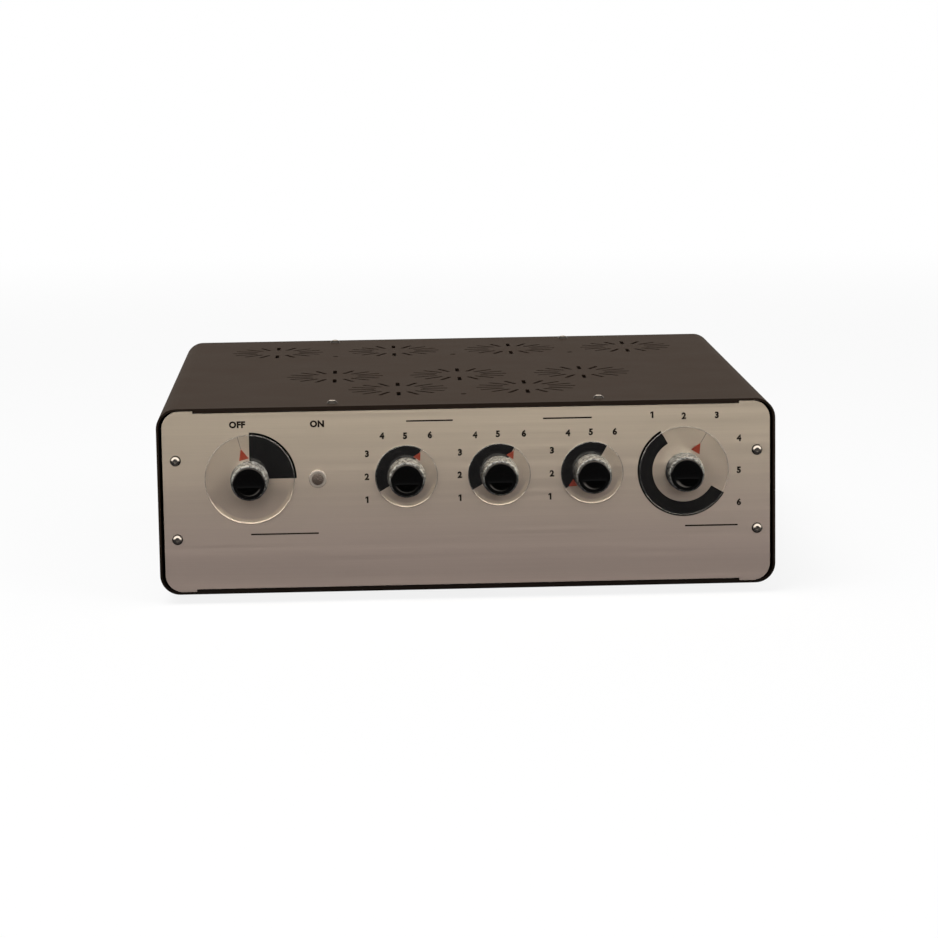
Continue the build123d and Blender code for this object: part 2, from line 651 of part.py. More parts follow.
with BuildPart() as foot_nut:
    with BuildSketch():
        RegularPolygon(M4_NUT_FLATS / 2, 6, major_radius=False)
        Circle(SCREW_RADIUS + THREAD_FIT, mode=Mode.SUBTRACT)
    extrude(amount=M4_NUT_HEIGHT)

with BuildPart() as bottom_screws:
    with Locations(*[Location(facing_down(x, y, CASE_Z)) for x, y in COVER_SCREW_SPOTS]):
        add(case_screw)
    with Locations(*[Location(facing_down(x, y, foot_recess)) for x, y in FOOT_SPOTS]):
        add(foot_screw)
    with Locations(*[(x, y, CASE_Z + COVER_SHEET) for x, y in FOOT_SPOTS]):
        add(foot_nut.part)
keep(bottom_screws, "bottom_screws")

foot = foot_blank()
with BuildPart() as feet:
    with Locations(*FOOT_SPOTS):
        add(foot)
keep(feet, "feet")

frame_screw_spots = [(y, height) for y in BAR_YS for height in BAR_ZS]
frame_screw_spots += [(y, DECK_SCREW_HEIGHT) for y in DECK_SCREW_YS]


def facing_side(side, y, height):
    """Upright plane on the outside of a side frame's web, facing away from the case's middle."""
    web_face = side * (WEB_INSIDE + FRAME_SHEET)
    return Plane(origin=(web_face, y, CASE_Z + height), x_dir=(0, side, 0), z_dir=(side, 0, 0))


with BuildPart() as chassis_screws:
    for side in (-1, 1):
        with Locations(*[Location(facing_side(side, y, height)) for y, height in frame_screw_spots]):
            add(case_screw)
    with Locations(*[(x, y, CASE_Z + DECK_TOP + STRAP_SHEET) for x, y in STRAP_SCREW_SPOTS]):
        add(case_screw)
keep(chassis_screws, "chassis_screws")

# ------------------------------------------------------------------ pilot lamp
collar_bore = LAMP_RADIUS + COLLAR_FIT
collar_neck = collar_bore + COLLAR_WALL
lamp_plane = facing_front(PANEL_Y, LAMP_X, LAMP_HEIGHT)

with BuildPart() as lamp_collar:
    with BuildSketch(lamp_plane):
        Circle(COLLAR_RADIUS)
    extrude(amount=COLLAR_HEIGHT)
    fillet(lamp_collar.edges().filter_by(GeomType.CIRCLE).sort_by(Axis.Y)[0], COLLAR_EDGE)
    with BuildSketch(lamp_plane):
        Circle(collar_neck)
    extrude(amount=-(FRONT_PANEL_SHEET + COLLAR_TAIL))
    with BuildSketch(lamp_plane):
        Circle(collar_bore)
    extrude(amount=CASE_DEPTH, both=True, mode=Mode.SUBTRACT)
keep(lamp_collar, "lamp_collar")

lamp_length = LAMP_RIM + COLLAR_TAIL + FRONT_PANEL_SHEET + COLLAR_HEIGHT + LAMP_STAND
with BuildPart() as lamp_blank:
    with BuildSketch(Plane.XZ):
        with BuildLine():
            Polyline(
                (0, 0),
                (LAMP_RADIUS + LAMP_RIM, 0),
                (LAMP_RADIUS + LAMP_RIM, LAMP_RIM),
                (LAMP_RADIUS, LAMP_RIM),
                (LAMP_RADIUS, lamp_length),
            )
            ThreePointArc(
                (LAMP_RADIUS, lamp_length),
                (LAMP_RADIUS / 2, lamp_length + crown_middle(LAMP_RADIUS, LAMP_DOME)),
                (0, lamp_length + LAMP_DOME),
            )
            Line((0, lamp_length + LAMP_DOME), (0, 0))
        make_face()
    revolve(axis=Axis.Z)
    with BuildSketch():
        with GridLocations(LAMP_LEAD_SPACING, 1, 2, 1):
            Circle(LAMP_LEAD_RADIUS)
    extrude(amount=-LAMP_LEAD_LENGTH)

lamp_seat = facing_front(PANEL_BACK_Y + COLLAR_TAIL + LAMP_RIM, LAMP_X, LAMP_HEIGHT)
with BuildPart() as pilot_lamp:
    with Locations(Location(lamp_seat)):
        add(lamp_blank.part)
keep(pilot_lamp, "pilot_lamp")

# ------------------------------------------------------------------ controls
nut_space = max(LOCK_WASHER_RADIUS, LOCK_NUT_FLATS / 2 / cos(radians(30))) + NUT_CLEARANCE
knob_recess = BUSHING_REACH + NUT_CLEARANCE - KNOB_BACK
cap_height = CAP_SEAT + CAP_RISE

with BuildPart() as grip_blank:
    with BuildSketch(Plane.XZ):
        with BuildLine():
            Polyline(
                (nut_space, 0),
                (KNOB_BASE_RADIUS - KNOB_EDGE, 0),
                (KNOB_BASE_RADIUS, KNOB_EDGE),
                (KNOB_TIP_RADIUS, KNOB_LENGTH - KNOB_EDGE),
                (KNOB_TIP_RADIUS - KNOB_EDGE, KNOB_LENGTH),
                (CAP_RADIUS, KNOB_LENGTH),
                (CAP_RADIUS, KNOB_LENGTH - CAP_SEAT),
                (0, KNOB_LENGTH - CAP_SEAT),
                (0, KNOB_BORE_DEPTH),
                (SHAFT_RADIUS, KNOB_BORE_DEPTH),
                (SHAFT_RADIUS, knob_recess),
                (nut_space, knob_recess),
                close=True,
            )
        make_face()
    revolve(axis=Axis.Z)

with BuildPart() as cap_blank:
    with BuildSketch(Plane.XZ):
        with BuildLine():
            Polyline((0, 0), (CAP_RADIUS, 0), (CAP_RADIUS, cap_height - CAP_EDGE))
            RadiusArc((CAP_RADIUS, cap_height - CAP_EDGE), (CAP_RADIUS - CAP_EDGE, cap_height), -CAP_EDGE)
            Line((CAP_RADIUS - CAP_EDGE, cap_height), (CAP_DISH_RADIUS, cap_height))
            ThreePointArc(
                (CAP_DISH_RADIUS, cap_height),
                (CAP_DISH_RADIUS / 2, cap_height - crown_middle(CAP_DISH_RADIUS, CAP_DISH_DEPTH)),
                (0, cap_height - CAP_DISH_DEPTH),
            )
            Line((0, cap_height - CAP_DISH_DEPTH), (0, 0))
        make_face()
    revolve(axis=Axis.Z)


def knob_dial(x, radius):
    """Clear disc behind a knob, standing just off the panel."""
    with BuildPart() as dial:
        with BuildSketch(facing_front(PANEL_Y - DIAL_GAP, x, CONTROL_HEIGHT)):
            Circle(radius)
            Circle(nut_space, mode=Mode.SUBTRACT)
        extrude(amount=DIAL_SHEET)
        rim = dial.edges().filter_by(GeomType.CIRCLE).sort_by(SortBy.RADIUS)[-2:]
        chamfer(rim, DIAL_EDGE)
    return dial


def knob_shaft(x):
    """Switch shaft from the middle of the knob to behind the last wafer."""
    tip_y = PANEL_Y - KNOB_BACK - KNOB_BORE_DEPTH
    with BuildPart() as shaft:
        with BuildSketch(facing_front(tip_y, x, CONTROL_HEIGHT)):
            Circle(SHAFT_RADIUS)
        extrude(amount=-(SHAFT_END_Y - tip_y))
    return shaft


def placed(blank, plane):
    """A copy of a piece, moved onto a plane."""
    with BuildPart() as copy:
        with Locations(Location(plane)):
            add(blank.part)
    return copy


for control, control_x, dial_radius in CONTROLS:
    grip_plane = facing_front(PANEL_Y - KNOB_BACK, control_x, CONTROL_HEIGHT)
    cap_plane = facing_front(PANEL_Y - KNOB_RIM + CAP_SEAT, control_x, CONTROL_HEIGHT)
    keep(placed(grip_blank, grip_plane), f"{control}_knob_grip")
    keep(placed(cap_blank, cap_plane), f"{control}_knob_cap")
    keep(knob_dial(control_x, dial_radius), f"{control}_knob_dial")
    keep(knob_shaft(control_x), f"{control}_knob_shaft")

# ------------------------------------------------------------------ rotary switches
post_length = WAFER_FIRST + (WAFER_COUNT - 1) * WAFER_STEP + WAFER_SHEET + SHAFT_TAIL


def switch_frame(with_posts):
    """Switch plate with its threaded bushing; z = 0 is the back of the front panel."""
    with BuildPart() as frame:
        with BuildSketch():
            Rectangle(SWITCH_PLATE, SWITCH_PLATE)
        extrude(amount=-SWITCH_PLATE_SHEET)
        with BuildSketch():
            Circle(BUSHING_RADIUS)
        extrude(amount=FRONT_PANEL_SHEET + BUSHING_REACH)
        if with_posts:
            with BuildSketch(Plane.XY.offset(-SWITCH_PLATE_SHEET)):
                with Locations((-SWITCH_POST_X, 0), (SWITCH_POST_X, 0)):
                    Circle(SWITCH_POST_RADIUS)
            extrude(amount=-post_length)
        with BuildSketch():
            Circle(SHAFT_RADIUS + SHAFT_FIT)
        extrude(amount=CASE_DEPTH, both=True, mode=Mode.SUBTRACT)
    return frame.part


def control_seats(controls, y):
    """Places on the axes of the controls, facing the front."""
    return [Location(facing_front(y, x, CONTROL_HEIGHT)) for _, x, _ in controls]


signal_frame = switch_frame(True)
mains_frame = switch_frame(False)
with BuildPart() as switch_frames:
    with Locations(*control_seats(SIGNAL_CONTROLS, PANEL_BACK_Y)):
        add(signal_frame)
    with Locations(*control_seats(CONTROLS[:1], PANEL_BACK_Y)):
        add(mains_frame)
keep(switch_frames, "switch_frames")

with BuildPart() as lock_nut:
    with BuildSketch():
        Circle(LOCK_WASHER_RADIUS)
        Circle(BUSHING_RADIUS + THREAD_FIT, mode=Mode.SUBTRACT)
    extrude(amount=LOCK_WASHER_SHEET)
    with BuildSketch(Plane.XY.offset(LOCK_WASHER_SHEET)):
        RegularPolygon(LOCK_NUT_FLATS / 2, 6, major_radius=False)
        Circle(BUSHING_RADIUS + THREAD_FIT, mode=Mode.SUBTRACT)
    extrude(amount=LOCK_NUT_HEIGHT)

with BuildPart() as switch_nuts:
    with Locations(*control_seats(CONTROLS, PANEL_Y)):
        add(lock_nut.part)
keep(switch_nuts, "switch_nuts")

with BuildPart() as wafer:
    with BuildSketch():
        Circle(WAFER_RADIUS)
        Circle(SHAFT_RADIUS + SHAFT_TAIL_CLEARANCE, mode=Mode.SUBTRACT)
        with Locations((-SWITCH_POST_X, 0), (SWITCH_POST_X, 0)):
            Circle(SWITCH_POST_RADIUS + WAFER_FIT, mode=Mode.SUBTRACT)
    extrude(amount=-WAFER_SHEET)

with BuildPart() as switch_wafers:
    for step in range(WAFER_COUNT):
        with Locations(*control_seats(SIGNAL_CONTROLS, SWITCH_BACK_Y + WAFER_FIRST + step * WAFER_STEP)):
            add(wafer.part)
keep(switch_wafers, "switch_wafers")

mains_bore_depth = post_length + SHAFT_TAIL_CLEARANCE
mains_switch_depth = mains_bore_depth + MAINS_SWITCH_BASE
MAINS_SWITCH_BACK_Y = SWITCH_BACK_Y + mains_switch_depth
with BuildPart() as mains_switch:
    with BuildSketch(facing_front(SWITCH_BACK_Y, POWER_X, CONTROL_HEIGHT)):
        Rectangle(MAINS_SWITCH_WIDTH, MAINS_SWITCH_HEIGHT)
    extrude(amount=-mains_switch_depth)
    fillet(mains_switch.edges().filter_by(Axis.Y), MAINS_SWITCH_EDGE)
    with BuildSketch(facing_front(SWITCH_BACK_Y, POWER_X, CONTROL_HEIGHT)):
        Circle(SHAFT_RADIUS + SHAFT_TAIL_CLEARANCE)
    extrude(amount=-mains_bore_depth, mode=Mode.SUBTRACT)
    with BuildSketch(facing_front(MAINS_SWITCH_BACK_Y, POWER_X, CONTROL_HEIGHT)):
        with GridLocations(MAINS_TERMINAL_SPACING_X, MAINS_TERMINAL_SPACING_Z, 2, 2):
            Rectangle(MAINS_TERMINAL_WIDTH, MAINS_TERMINAL_SHEET)
    extrude(amount=-MAINS_TERMINAL)
keep(mains_switch, "mains_switch")

# ------------------------------------------------------------------ mains transformer
core_front_y = TRANSFORMER_Y - CORE_STACK / 2
core_middle = DECK_TOP + CORE_HEIGHT / 2
with BuildPart() as transformer_core:
    with BuildSketch(facing_front(core_front_y, TRANSFORMER_X, core_middle)):
        Rectangle(CORE_WIDTH, CORE_HEIGHT)
        with Locations((-1.5 * CORE_LIMB, 0), (1.5 * CORE_LIMB, 0)):
            Rectangle(CORE_LIMB, CORE_WINDOW_HEIGHT, mode=Mode.SUBTRACT)
    extrude(amount=-CORE_STACK)
keep(transformer_core, "transformer_core")

coil_build = CORE_LIMB - 2 * COIL_CLEARANCE
coil_bottom = DECK_TOP + CORE_LIMB + COIL_CLEARANCE
coil_length = CORE_STACK + 2 * coil_build
with BuildPart() as transformer_coil:
    with BuildSketch(level(coil_bottom)):
        with Locations((TRANSFORMER_X, TRANSFORMER_Y)):
            RectangleRounded(2 * CORE_LIMB + 2 * coil_build, coil_length, COIL_CORNER)
            Rectangle(
                2 * CORE_LIMB + 2 * COIL_CLEARANCE, CORE_STACK + 2 * COIL_CLEARANCE, mode=Mode.SUBTRACT
            )
    extrude(amount=CORE_WINDOW_HEIGHT - 2 * COIL_CLEARANCE)
keep(transformer_coil, "transformer_coil")

with BuildPart() as transformer_strap:
    with BuildSketch(facing_front(TRANSFORMER_Y - STRAP_WIDTH / 2, TRANSFORMER_X, DECK_TOP)):
        Rectangle(
            CORE_WIDTH + 2 * STRAP_SHEET, CORE_HEIGHT + STRAP_SHEET, align=(Align.CENTER, Align.MIN)
        )
        Rectangle(
            CORE_WIDTH + 2 * STRAP_SHEET + 2 * STRAP_FOOT, STRAP_SHEET, align=(Align.CENTER, Align.MIN)
        )
        Rectangle(CORE_WIDTH, CORE_HEIGHT, align=(Align.CENTER, Align.MIN), mode=Mode.SUBTRACT)
    extrude(amount=-STRAP_WIDTH)
    with BuildSketch(level(DECK_TOP)):
        with Locations(*STRAP_SCREW_SPOTS):
            Circle(SCREW_RADIUS + SCREW_CLEARANCE)
    extrude(amount=STRAP_SHEET, mode=Mode.SUBTRACT)
keep(transformer_strap, "transformer_strap")

# ------------------------------------------------------------------ circuit boards and capacitors
with BuildPart() as circuit_boards:
    with BuildSketch(level(BOARD_TOP)):
        for board_x, board_y, board_width, board_length in BOARDS:
            with Locations((board_x, board_y)):
                Rectangle(board_width, board_length)
    extrude(amount=-BOARD_SHEET)
keep(circuit_boards, "circuit_boards")

with BuildPart() as filter_can:
    with BuildSketch():
        Circle(FILTER_CAN_RADIUS)
    extrude(amount=FILTER_CAN_HEIGHT)
    fillet(filter_can.edges().sort_by(Axis.Z)[-1], FILTER_CAN_EDGE)

with BuildPart() as filter_capacitors:
    with Locations((POWER_BOARD_X, POWER_BOARD_Y, CASE_Z + BOARD_TOP)):
        with GridLocations(FILTER_CAN_SPACING, FILTER_CAN_SPACING, FILTER_COLUMN_COUNT, FILTER_ROW_COUNT):
            add(filter_can.part)
keep(filter_capacitors, "filter_capacitors")

with BuildPart() as coupler:
    Box(COUPLER_LENGTH, COUPLER_WIDTH, COUPLER_HEIGHT, align=(Align.CENTER, Align.CENTER, Align.MIN))
    fillet(coupler.edges().filter_by(Axis.Z), COUPLER_EDGE)

with BuildPart() as coupling_capacitors:
    for coupler_y in (AUDIO_BOARD_Y, AUDIO_BOARD_Y + VALVE_ROW_SPACING):
        with Locations((AUDIO_BOARD_X, coupler_y, CASE_Z + BOARD_TOP)):
            with GridLocations(COUPLER_SPACING, 1, COUPLER_COUNT, 1):
                add(coupler.part)
keep(coupling_capacitors, "coupling_capacitors")

# ------------------------------------------------------------------ valves
with BuildPart() as valve_socket:
    with BuildSketch():
        Circle(VALVE_SOCKET_RADIUS)
    extrude(amount=VALVE_SOCKET_HEIGHT)
    fillet(valve_socket.edges().sort_by(Axis.Z)[-1], VALVE_SOCKET_EDGE)

valve_shoulder = VALVE_HEIGHT - VALVE_DOME
valve_bore = VALVE_RADIUS - VALVE_GLASS
with BuildPart() as valve_envelope:
    with BuildSketch(Plane.XZ):
        with BuildLine():
            Polyline((valve_bore, 0), (VALVE_RADIUS, 0), (VALVE_RADIUS, valve_shoulder))
            ThreePointArc(
                (VALVE_RADIUS, valve_shoulder),
                (VALVE_RADIUS / 2, valve_shoulder + crown_middle(VALVE_RADIUS, VALVE_DOME)),
                (0, VALVE_HEIGHT),
            )
            Line((0, VALVE_HEIGHT), (0, VALVE_HEIGHT - VALVE_GLASS))
            ThreePointArc(
                (0, VALVE_HEIGHT - VALVE_GLASS),
                (valve_bore / 2, valve_shoulder + crown_middle(valve_bore, VALVE_DOME - VALVE_GLASS)),
                (valve_bore, valve_shoulder),
            )
            Line((valve_bore, valve_shoulder), (valve_bore, 0))
        make_face()
    revolve(axis=Axis.Z)
    with Locations((0, 0, VALVE_HEIGHT - VALVE_GLASS)):
        Cone(VALVE_TIP_RADIUS, 0, VALVE_GLASS + VALVE_TIP, align=(Align.CENTER, Align.CENTER, Align.MIN))

with BuildPart() as electrode_stack:
    with BuildSketch():
        with GridLocations(SUPPORT_SPACING, 1, 2, 1):
            Circle(SUPPORT_RADIUS)
    extrude(amount=ANODE_FOOT + ANODE_HEIGHT)
    with BuildSketch(Plane.XY.offset(ANODE_FOOT)):
        Circle(ANODE_RADIUS)
    extrude(amount=ANODE_HEIGHT)
    for mica_base in (ANODE_FOOT - MICA_SHEET, ANODE_FOOT + ANODE_HEIGHT):
        with BuildSketch(Plane.XY.offset(mica_base)):
            Circle(MICA_RADIUS)
        extrude(amount=MICA_SHEET)

valve_base = CASE_Z + BOARD_TOP + VALVE_SOCKET_HEIGHT
with BuildPart() as valve_sockets:
    with Locations(*[(x, y, CASE_Z + BOARD_TOP) for x, y in VALVE_SPOTS]):
        add(valve_socket.part)
keep(valve_sockets, "valve_sockets")

with BuildPart() as valve_glass:
    with Locations(*[(x, y, valve_base) for x, y in VALVE_SPOTS]):
        add(valve_envelope.part)
keep(valve_glass, "valve_glass")

with BuildPart() as valve_electrodes:
    with Locations(*[(x, y, valve_base) for x, y in VALVE_SPOTS]):
        add(electrode_stack.part)
keep(valve_electrodes, "valve_electrodes")


# ------------------------------------------------------------------ phono sockets
def turned(points):
    """Solid turned about Z from a closed outline of (radius, z) points."""
    with BuildPart() as blank:
        with BuildSketch(Plane.XZ):
            with BuildLine():
                Polyline(*points, close=True)
            make_face()
        revolve(axis=Axis.Z)
    return blank.part


# z = 0 is the outer face of the rear panel, and z grows away from the case
insulator_face = SOCKET_LENGTH - SOCKET_FACE_DEPTH
socket_shell = turned(
    (
        (SOCKET_BORE_RADIUS, SOCKET_LENGTH),
        (SOCKET_RADIUS, SOCKET_LENGTH),
        (SOCKET_RADIUS, SOCKET_FLANGE),
        (SOCKET_FLANGE_RADIUS, SOCKET_FLANGE),
        (SOCKET_FLANGE_RADIUS, 0),
        (SOCKET_NECK_RADIUS, 0),
        (SOCKET_NECK_RADIUS, -SOCKET_NECK_LENGTH),
        (SOCKET_BORE_RADIUS, -SOCKET_NECK_LENGTH),
    )
)
socket_insulator = turned(
    (
        (CONTACT_RADIUS, insulator_face),
        (SOCKET_BORE_RADIUS, insulator_face),
        (SOCKET_BORE_RADIUS, -SOCKET_NECK_LENGTH),
        (CONTACT_RADIUS, -SOCKET_NECK_LENGTH),
    )
)
contact_bore_end = insulator_face - CONTACT_BORE_DEPTH
contact_end = -SOCKET_NECK_LENGTH - CONTACT_TAIL
socket_contact = turned(
    (
        (CONTACT_BORE_RADIUS, insulator_face),
        (CONTACT_RADIUS, insulator_face),
        (CONTACT_RADIUS, contact_end),
        (0, contact_end),
        (0, contact_bore_end),
        (CONTACT_BORE_RADIUS, contact_bore_end),
    )
)
with BuildPart() as socket_nut:
    with BuildSketch(Plane.XY.offset(-REAR_PANEL_SHEET)):
        RegularPolygon(SOCKET_NUT_FLATS / 2, 6, major_radius=False)
        Circle(SOCKET_NECK_RADIUS + THREAD_FIT, mode=Mode.SUBTRACT)
    extrude(amount=-SOCKET_NUT_HEIGHT)

socket_seats = [Location(facing_rear(REAR_FACE_Y, x, height)) for x, height in SOCKET_SPOTS]
with BuildPart() as socket_shells:
    with Locations(*socket_seats):
        add(socket_shell)
        add(socket_nut.part)
keep(socket_shells, "socket_shells")

with BuildPart() as socket_insulators:
    with Locations(*socket_seats):
        add(socket_insulator)
keep(socket_insulators, "socket_insulators")

with BuildPart() as socket_contacts:
    with Locations(*socket_seats):
        add(socket_contact)
keep(socket_contacts, "socket_contacts")

# ------------------------------------------------------------------ mains inlet and fuse drawer
inlet_face_y = REAR_FACE_Y + INLET_FLANGE
inlet_back_y = inlet_face_y - INLET_DEPTH
cavity_floor_y = inlet_face_y - INLET_CAVITY_DEPTH
pin_spots = [
    (-INLET_PIN_SPACING, INLET_CAVITY_RISE - INLET_PIN_STAGGER),
    (0, INLET_CAVITY_RISE + INLET_PIN_STAGGER),
    (INLET_PIN_SPACING, INLET_CAVITY_RISE - INLET_PIN_STAGGER),
]
with BuildPart() as mains_inlet:
    with BuildSketch(facing_rear(REAR_FACE_Y, INLET_X, INLET_HEIGHT)):
        RectangleRounded(
            INLET_BODY_WIDTH + 2 * INLET_FLANGE_LIP,
            INLET_BODY_HEIGHT + 2 * INLET_FLANGE_LIP,
            INLET_FLANGE_CORNER,
        )
    extrude(amount=INLET_FLANGE)
    with BuildSketch(facing_rear(REAR_FACE_Y, INLET_X, INLET_HEIGHT)):
        Rectangle(INLET_BODY_WIDTH, INLET_BODY_HEIGHT)
    extrude(amount=-(REAR_FACE_Y - inlet_back_y))
    with BuildSketch(facing_rear(inlet_face_y, INLET_X, INLET_HEIGHT)):
        with Locations((0, INLET_CAVITY_RISE)):
            RectangleRounded(INLET_CAVITY_WIDTH, INLET_CAVITY_HEIGHT, INLET_CAVITY_CORNER)
    extrude(amount=-INLET_CAVITY_DEPTH, mode=Mode.SUBTRACT)
    with BuildSketch(facing_rear(cavity_floor_y, INLET_X, INLET_HEIGHT)):
        with Locations(*pin_spots):
            Rectangle(INLET_PIN_WIDTH, INLET_PIN_HEIGHT)
    extrude(amount=-INLET_DEPTH, mode=Mode.SUBTRACT)
    with BuildSketch(facing_rear(inlet_face_y, INLET_X, INLET_HEIGHT)):
        with Locations((0, -DRAWER_DROP)):
            Rectangle(DRAWER_WIDTH + 2 * DRAWER_FIT, DRAWER_HEIGHT + 2 * DRAWER_FIT)
    extrude(amount=-(DRAWER_DEPTH + DRAWER_FIT), mode=Mode.SUBTRACT)
keep(mains_inlet, "mains_inlet")

with BuildPart() as inlet_pins:
    with BuildSketch(facing_rear(inlet_back_y - INLET_TAB, INLET_X, INLET_HEIGHT)):
        with Locations(*pin_spots):
            Rectangle(INLET_PIN_WIDTH, INLET_PIN_HEIGHT)
    extrude(amount=cavity_floor_y + INLET_PIN_LENGTH - inlet_back_y + INLET_TAB)
keep(inlet_pins, "inlet_pins")

drawer_end_y = inlet_face_y + DRAWER_FACE_GAP - DRAWER_DEPTH
trough_length = FUSE_LENGTH + 2 * FUSE_FIT
trough_y = drawer_end_y + (DRAWER_DEPTH - trough_length) / 2
with BuildPart() as fuse_drawer:
    with BuildSketch(facing_rear(drawer_end_y, INLET_X, INLET_HEIGHT - DRAWER_DROP)):
        Rectangle(DRAWER_WIDTH, DRAWER_HEIGHT)
    extrude(amount=DRAWER_DEPTH)
    with BuildSketch(facing_rear(drawer_end_y + DRAWER_DEPTH, INLET_X, INLET_HEIGHT - DRAWER_DROP)):
        Rectangle(DRAWER_WIDTH + 2 * DRAWER_FACE_LIP, DRAWER_HEIGHT + 2 * DRAWER_FACE_LIP)
    extrude(amount=DRAWER_FACE)
    with BuildSketch(
        facing_rear(drawer_end_y + DRAWER_DEPTH + DRAWER_FACE, INLET_X, INLET_HEIGHT - DRAWER_DROP)
    ):
        Rectangle(DRAWER_GRIP_WIDTH, DRAWER_GRIP)
    extrude(amount=DRAWER_GRIP)
    with BuildSketch(facing_rear(trough_y, INLET_X, INLET_HEIGHT - DRAWER_DROP)):
        with Locations((-FUSE_SPACING / 2, 0), (FUSE_SPACING / 2, 0)):
            Circle(FUSE_RADIUS + FUSE_FIT)
            Rectangle(
                2 * (FUSE_RADIUS + FUSE_FIT), DRAWER_HEIGHT, align=(Align.CENTER, Align.MIN)
            )
    extrude(amount=trough_length, mode=Mode.SUBTRACT)
keep(fuse_drawer, "fuse_drawer")

glass_radius = FUSE_RADIUS - FUSE_CAP_STEP
fuse = turned(
    (
        (0, 0),
        (FUSE_RADIUS, 0),
        (FUSE_RADIUS, FUSE_CAP_LENGTH),
        (glass_radius, FUSE_CAP_LENGTH),
        (glass_radius, FUSE_LENGTH - FUSE_CAP_LENGTH),
        (FUSE_RADIUS, FUSE_LENGTH - FUSE_CAP_LENGTH),
        (FUSE_RADIUS, FUSE_LENGTH),
        (0, FUSE_LENGTH),
    )
)
fuse_seat = facing_rear(trough_y + FUSE_FIT, INLET_X, INLET_HEIGHT - DRAWER_DROP)
with BuildPart() as fuses:
    with Locations(Location(fuse_seat)):
        with Locations((-FUSE_SPACING / 2, 0), (FUSE_SPACING / 2, 0)):
            add(fuse)
keep(fuses, "fuses")

# ------------------------------------------------------------------ earth terminal
ground_plane = facing_rear(REAR_FACE_Y, GROUND_X, GROUND_HEIGHT)
washer_base = GROUND_COLLAR + GROUND_FACE_GAP
nut_base = washer_base + GROUND_WASHER + GROUND_FACE_GAP
stud_clearance = GROUND_STUD_RADIUS + GROUND_STUD_FIT

with BuildPart() as ground_blank:
    with BuildSketch(Plane.XY.offset(-(REAR_PANEL_SHEET + M4_NUT_HEIGHT))):
        Circle(GROUND_STUD_RADIUS)
    extrude(amount=REAR_PANEL_SHEET + M4_NUT_HEIGHT + GROUND_STUD_REACH)
    with BuildSketch():
        Circle(GROUND_COLLAR_RADIUS)
    extrude(amount=GROUND_COLLAR)
    with BuildSketch(Plane.XY.offset(-REAR_PANEL_SHEET)):
        RegularPolygon(M4_NUT_FLATS / 2, 6, major_radius=False)
    extrude(amount=-M4_NUT_HEIGHT)
keep(placed(ground_blank, ground_plane), "ground_post")

with BuildPart() as washer_blank:
    with BuildSketch(Plane.XY.offset(washer_base)):
        Circle(GROUND_WASHER_RADIUS)
        Circle(stud_clearance, mode=Mode.SUBTRACT)
    extrude(amount=GROUND_WASHER)
keep(placed(washer_blank, ground_plane), "ground_washer")

with BuildPart() as nut_blank:
    with BuildSketch(Plane.XY.offset(nut_base)):
        Circle(GROUND_NUT_RADIUS)
    extrude(amount=GROUND_NUT_LENGTH)
    chamfer(nut_blank.edges().filter_by(GeomType.CIRCLE), GROUND_NUT_EDGE)
    with BuildSketch(Plane.XY.offset(nut_base)):
        Circle(stud_clearance)
    extrude(amount=GROUND_NUT_LENGTH, mode=Mode.SUBTRACT)
keep(placed(nut_blank, ground_plane), "ground_nut")


# ------------------------------------------------------------------ wiring
def loom(corners):
    """Round wire bundle: straight runs joined by tangent arcs as large as the runs allow."""
    runs = [end - start for start, end in zip(corners, corners[1:])]
    radii = []
    for before, after in zip(runs, runs[1:]):
        half_turn = radians(before.get_angle(after) / 2)
        radii.append(LOOM_ARC_SHARE * min(before.length, after.length) / tan(half_turn))
    with BuildPart() as bundle:
        with BuildLine() as path:
            FilletPolyline(*corners, radius=radii)
        with BuildSketch(Plane(origin=corners[0], z_dir=runs[0])):
            Circle(LOOM_RADIUS)
        sweep(path=path.line)
    return bundle.part


loom_x = WEB_INSIDE - LOOM_SIDE_GAP - LOOM_RADIUS
inlet_tab_y = inlet_back_y - INLET_TAB
earth_pin_z = CASE_Z + INLET_HEIGHT + INLET_CAVITY_RISE + INLET_PIN_STAGGER
control_z = CASE_Z + CONTROL_HEIGHT
supply_lead = loom(
    [
        Vector(INLET_X, inlet_tab_y, earth_pin_z),
        Vector(INLET_X, inlet_tab_y - LOOM_TAIL, earth_pin_z),
        Vector(-loom_x, inlet_tab_y - LOOM_TAIL - LOOM_SHIFT, earth_pin_z),
        Vector(-loom_x, MAINS_SWITCH_BACK_Y + LOOM_TAIL + LOOM_SHIFT, control_z),
        Vector(POWER_X, MAINS_SWITCH_BACK_Y + LOOM_TAIL, control_z),
        Vector(POWER_X, MAINS_SWITCH_BACK_Y, control_z),
    ]
)
coil_front_y = TRANSFORMER_Y - coil_length / 2
lead_height = CASE_Z + core_middle
board_lead_y = POWER_BOARD_Y + POWER_BOARD_LENGTH / 2 - PILLAR_INSET
board_z = CASE_Z + BOARD_TOP
transformer_lead = loom(
    [
        Vector(TRANSFORMER_X, coil_front_y, lead_height),
        Vector(TRANSFORMER_X, coil_front_y - LOOM_TAIL, lead_height),
        Vector(TRANSFORMER_X, board_lead_y, board_z + LOOM_TAIL),
        Vector(TRANSFORMER_X, board_lead_y, board_z),
    ]
)
with BuildPart() as mains_loom:
    add(supply_lead)
    add(transformer_lead)
keep(mains_loom, "mains_loom")

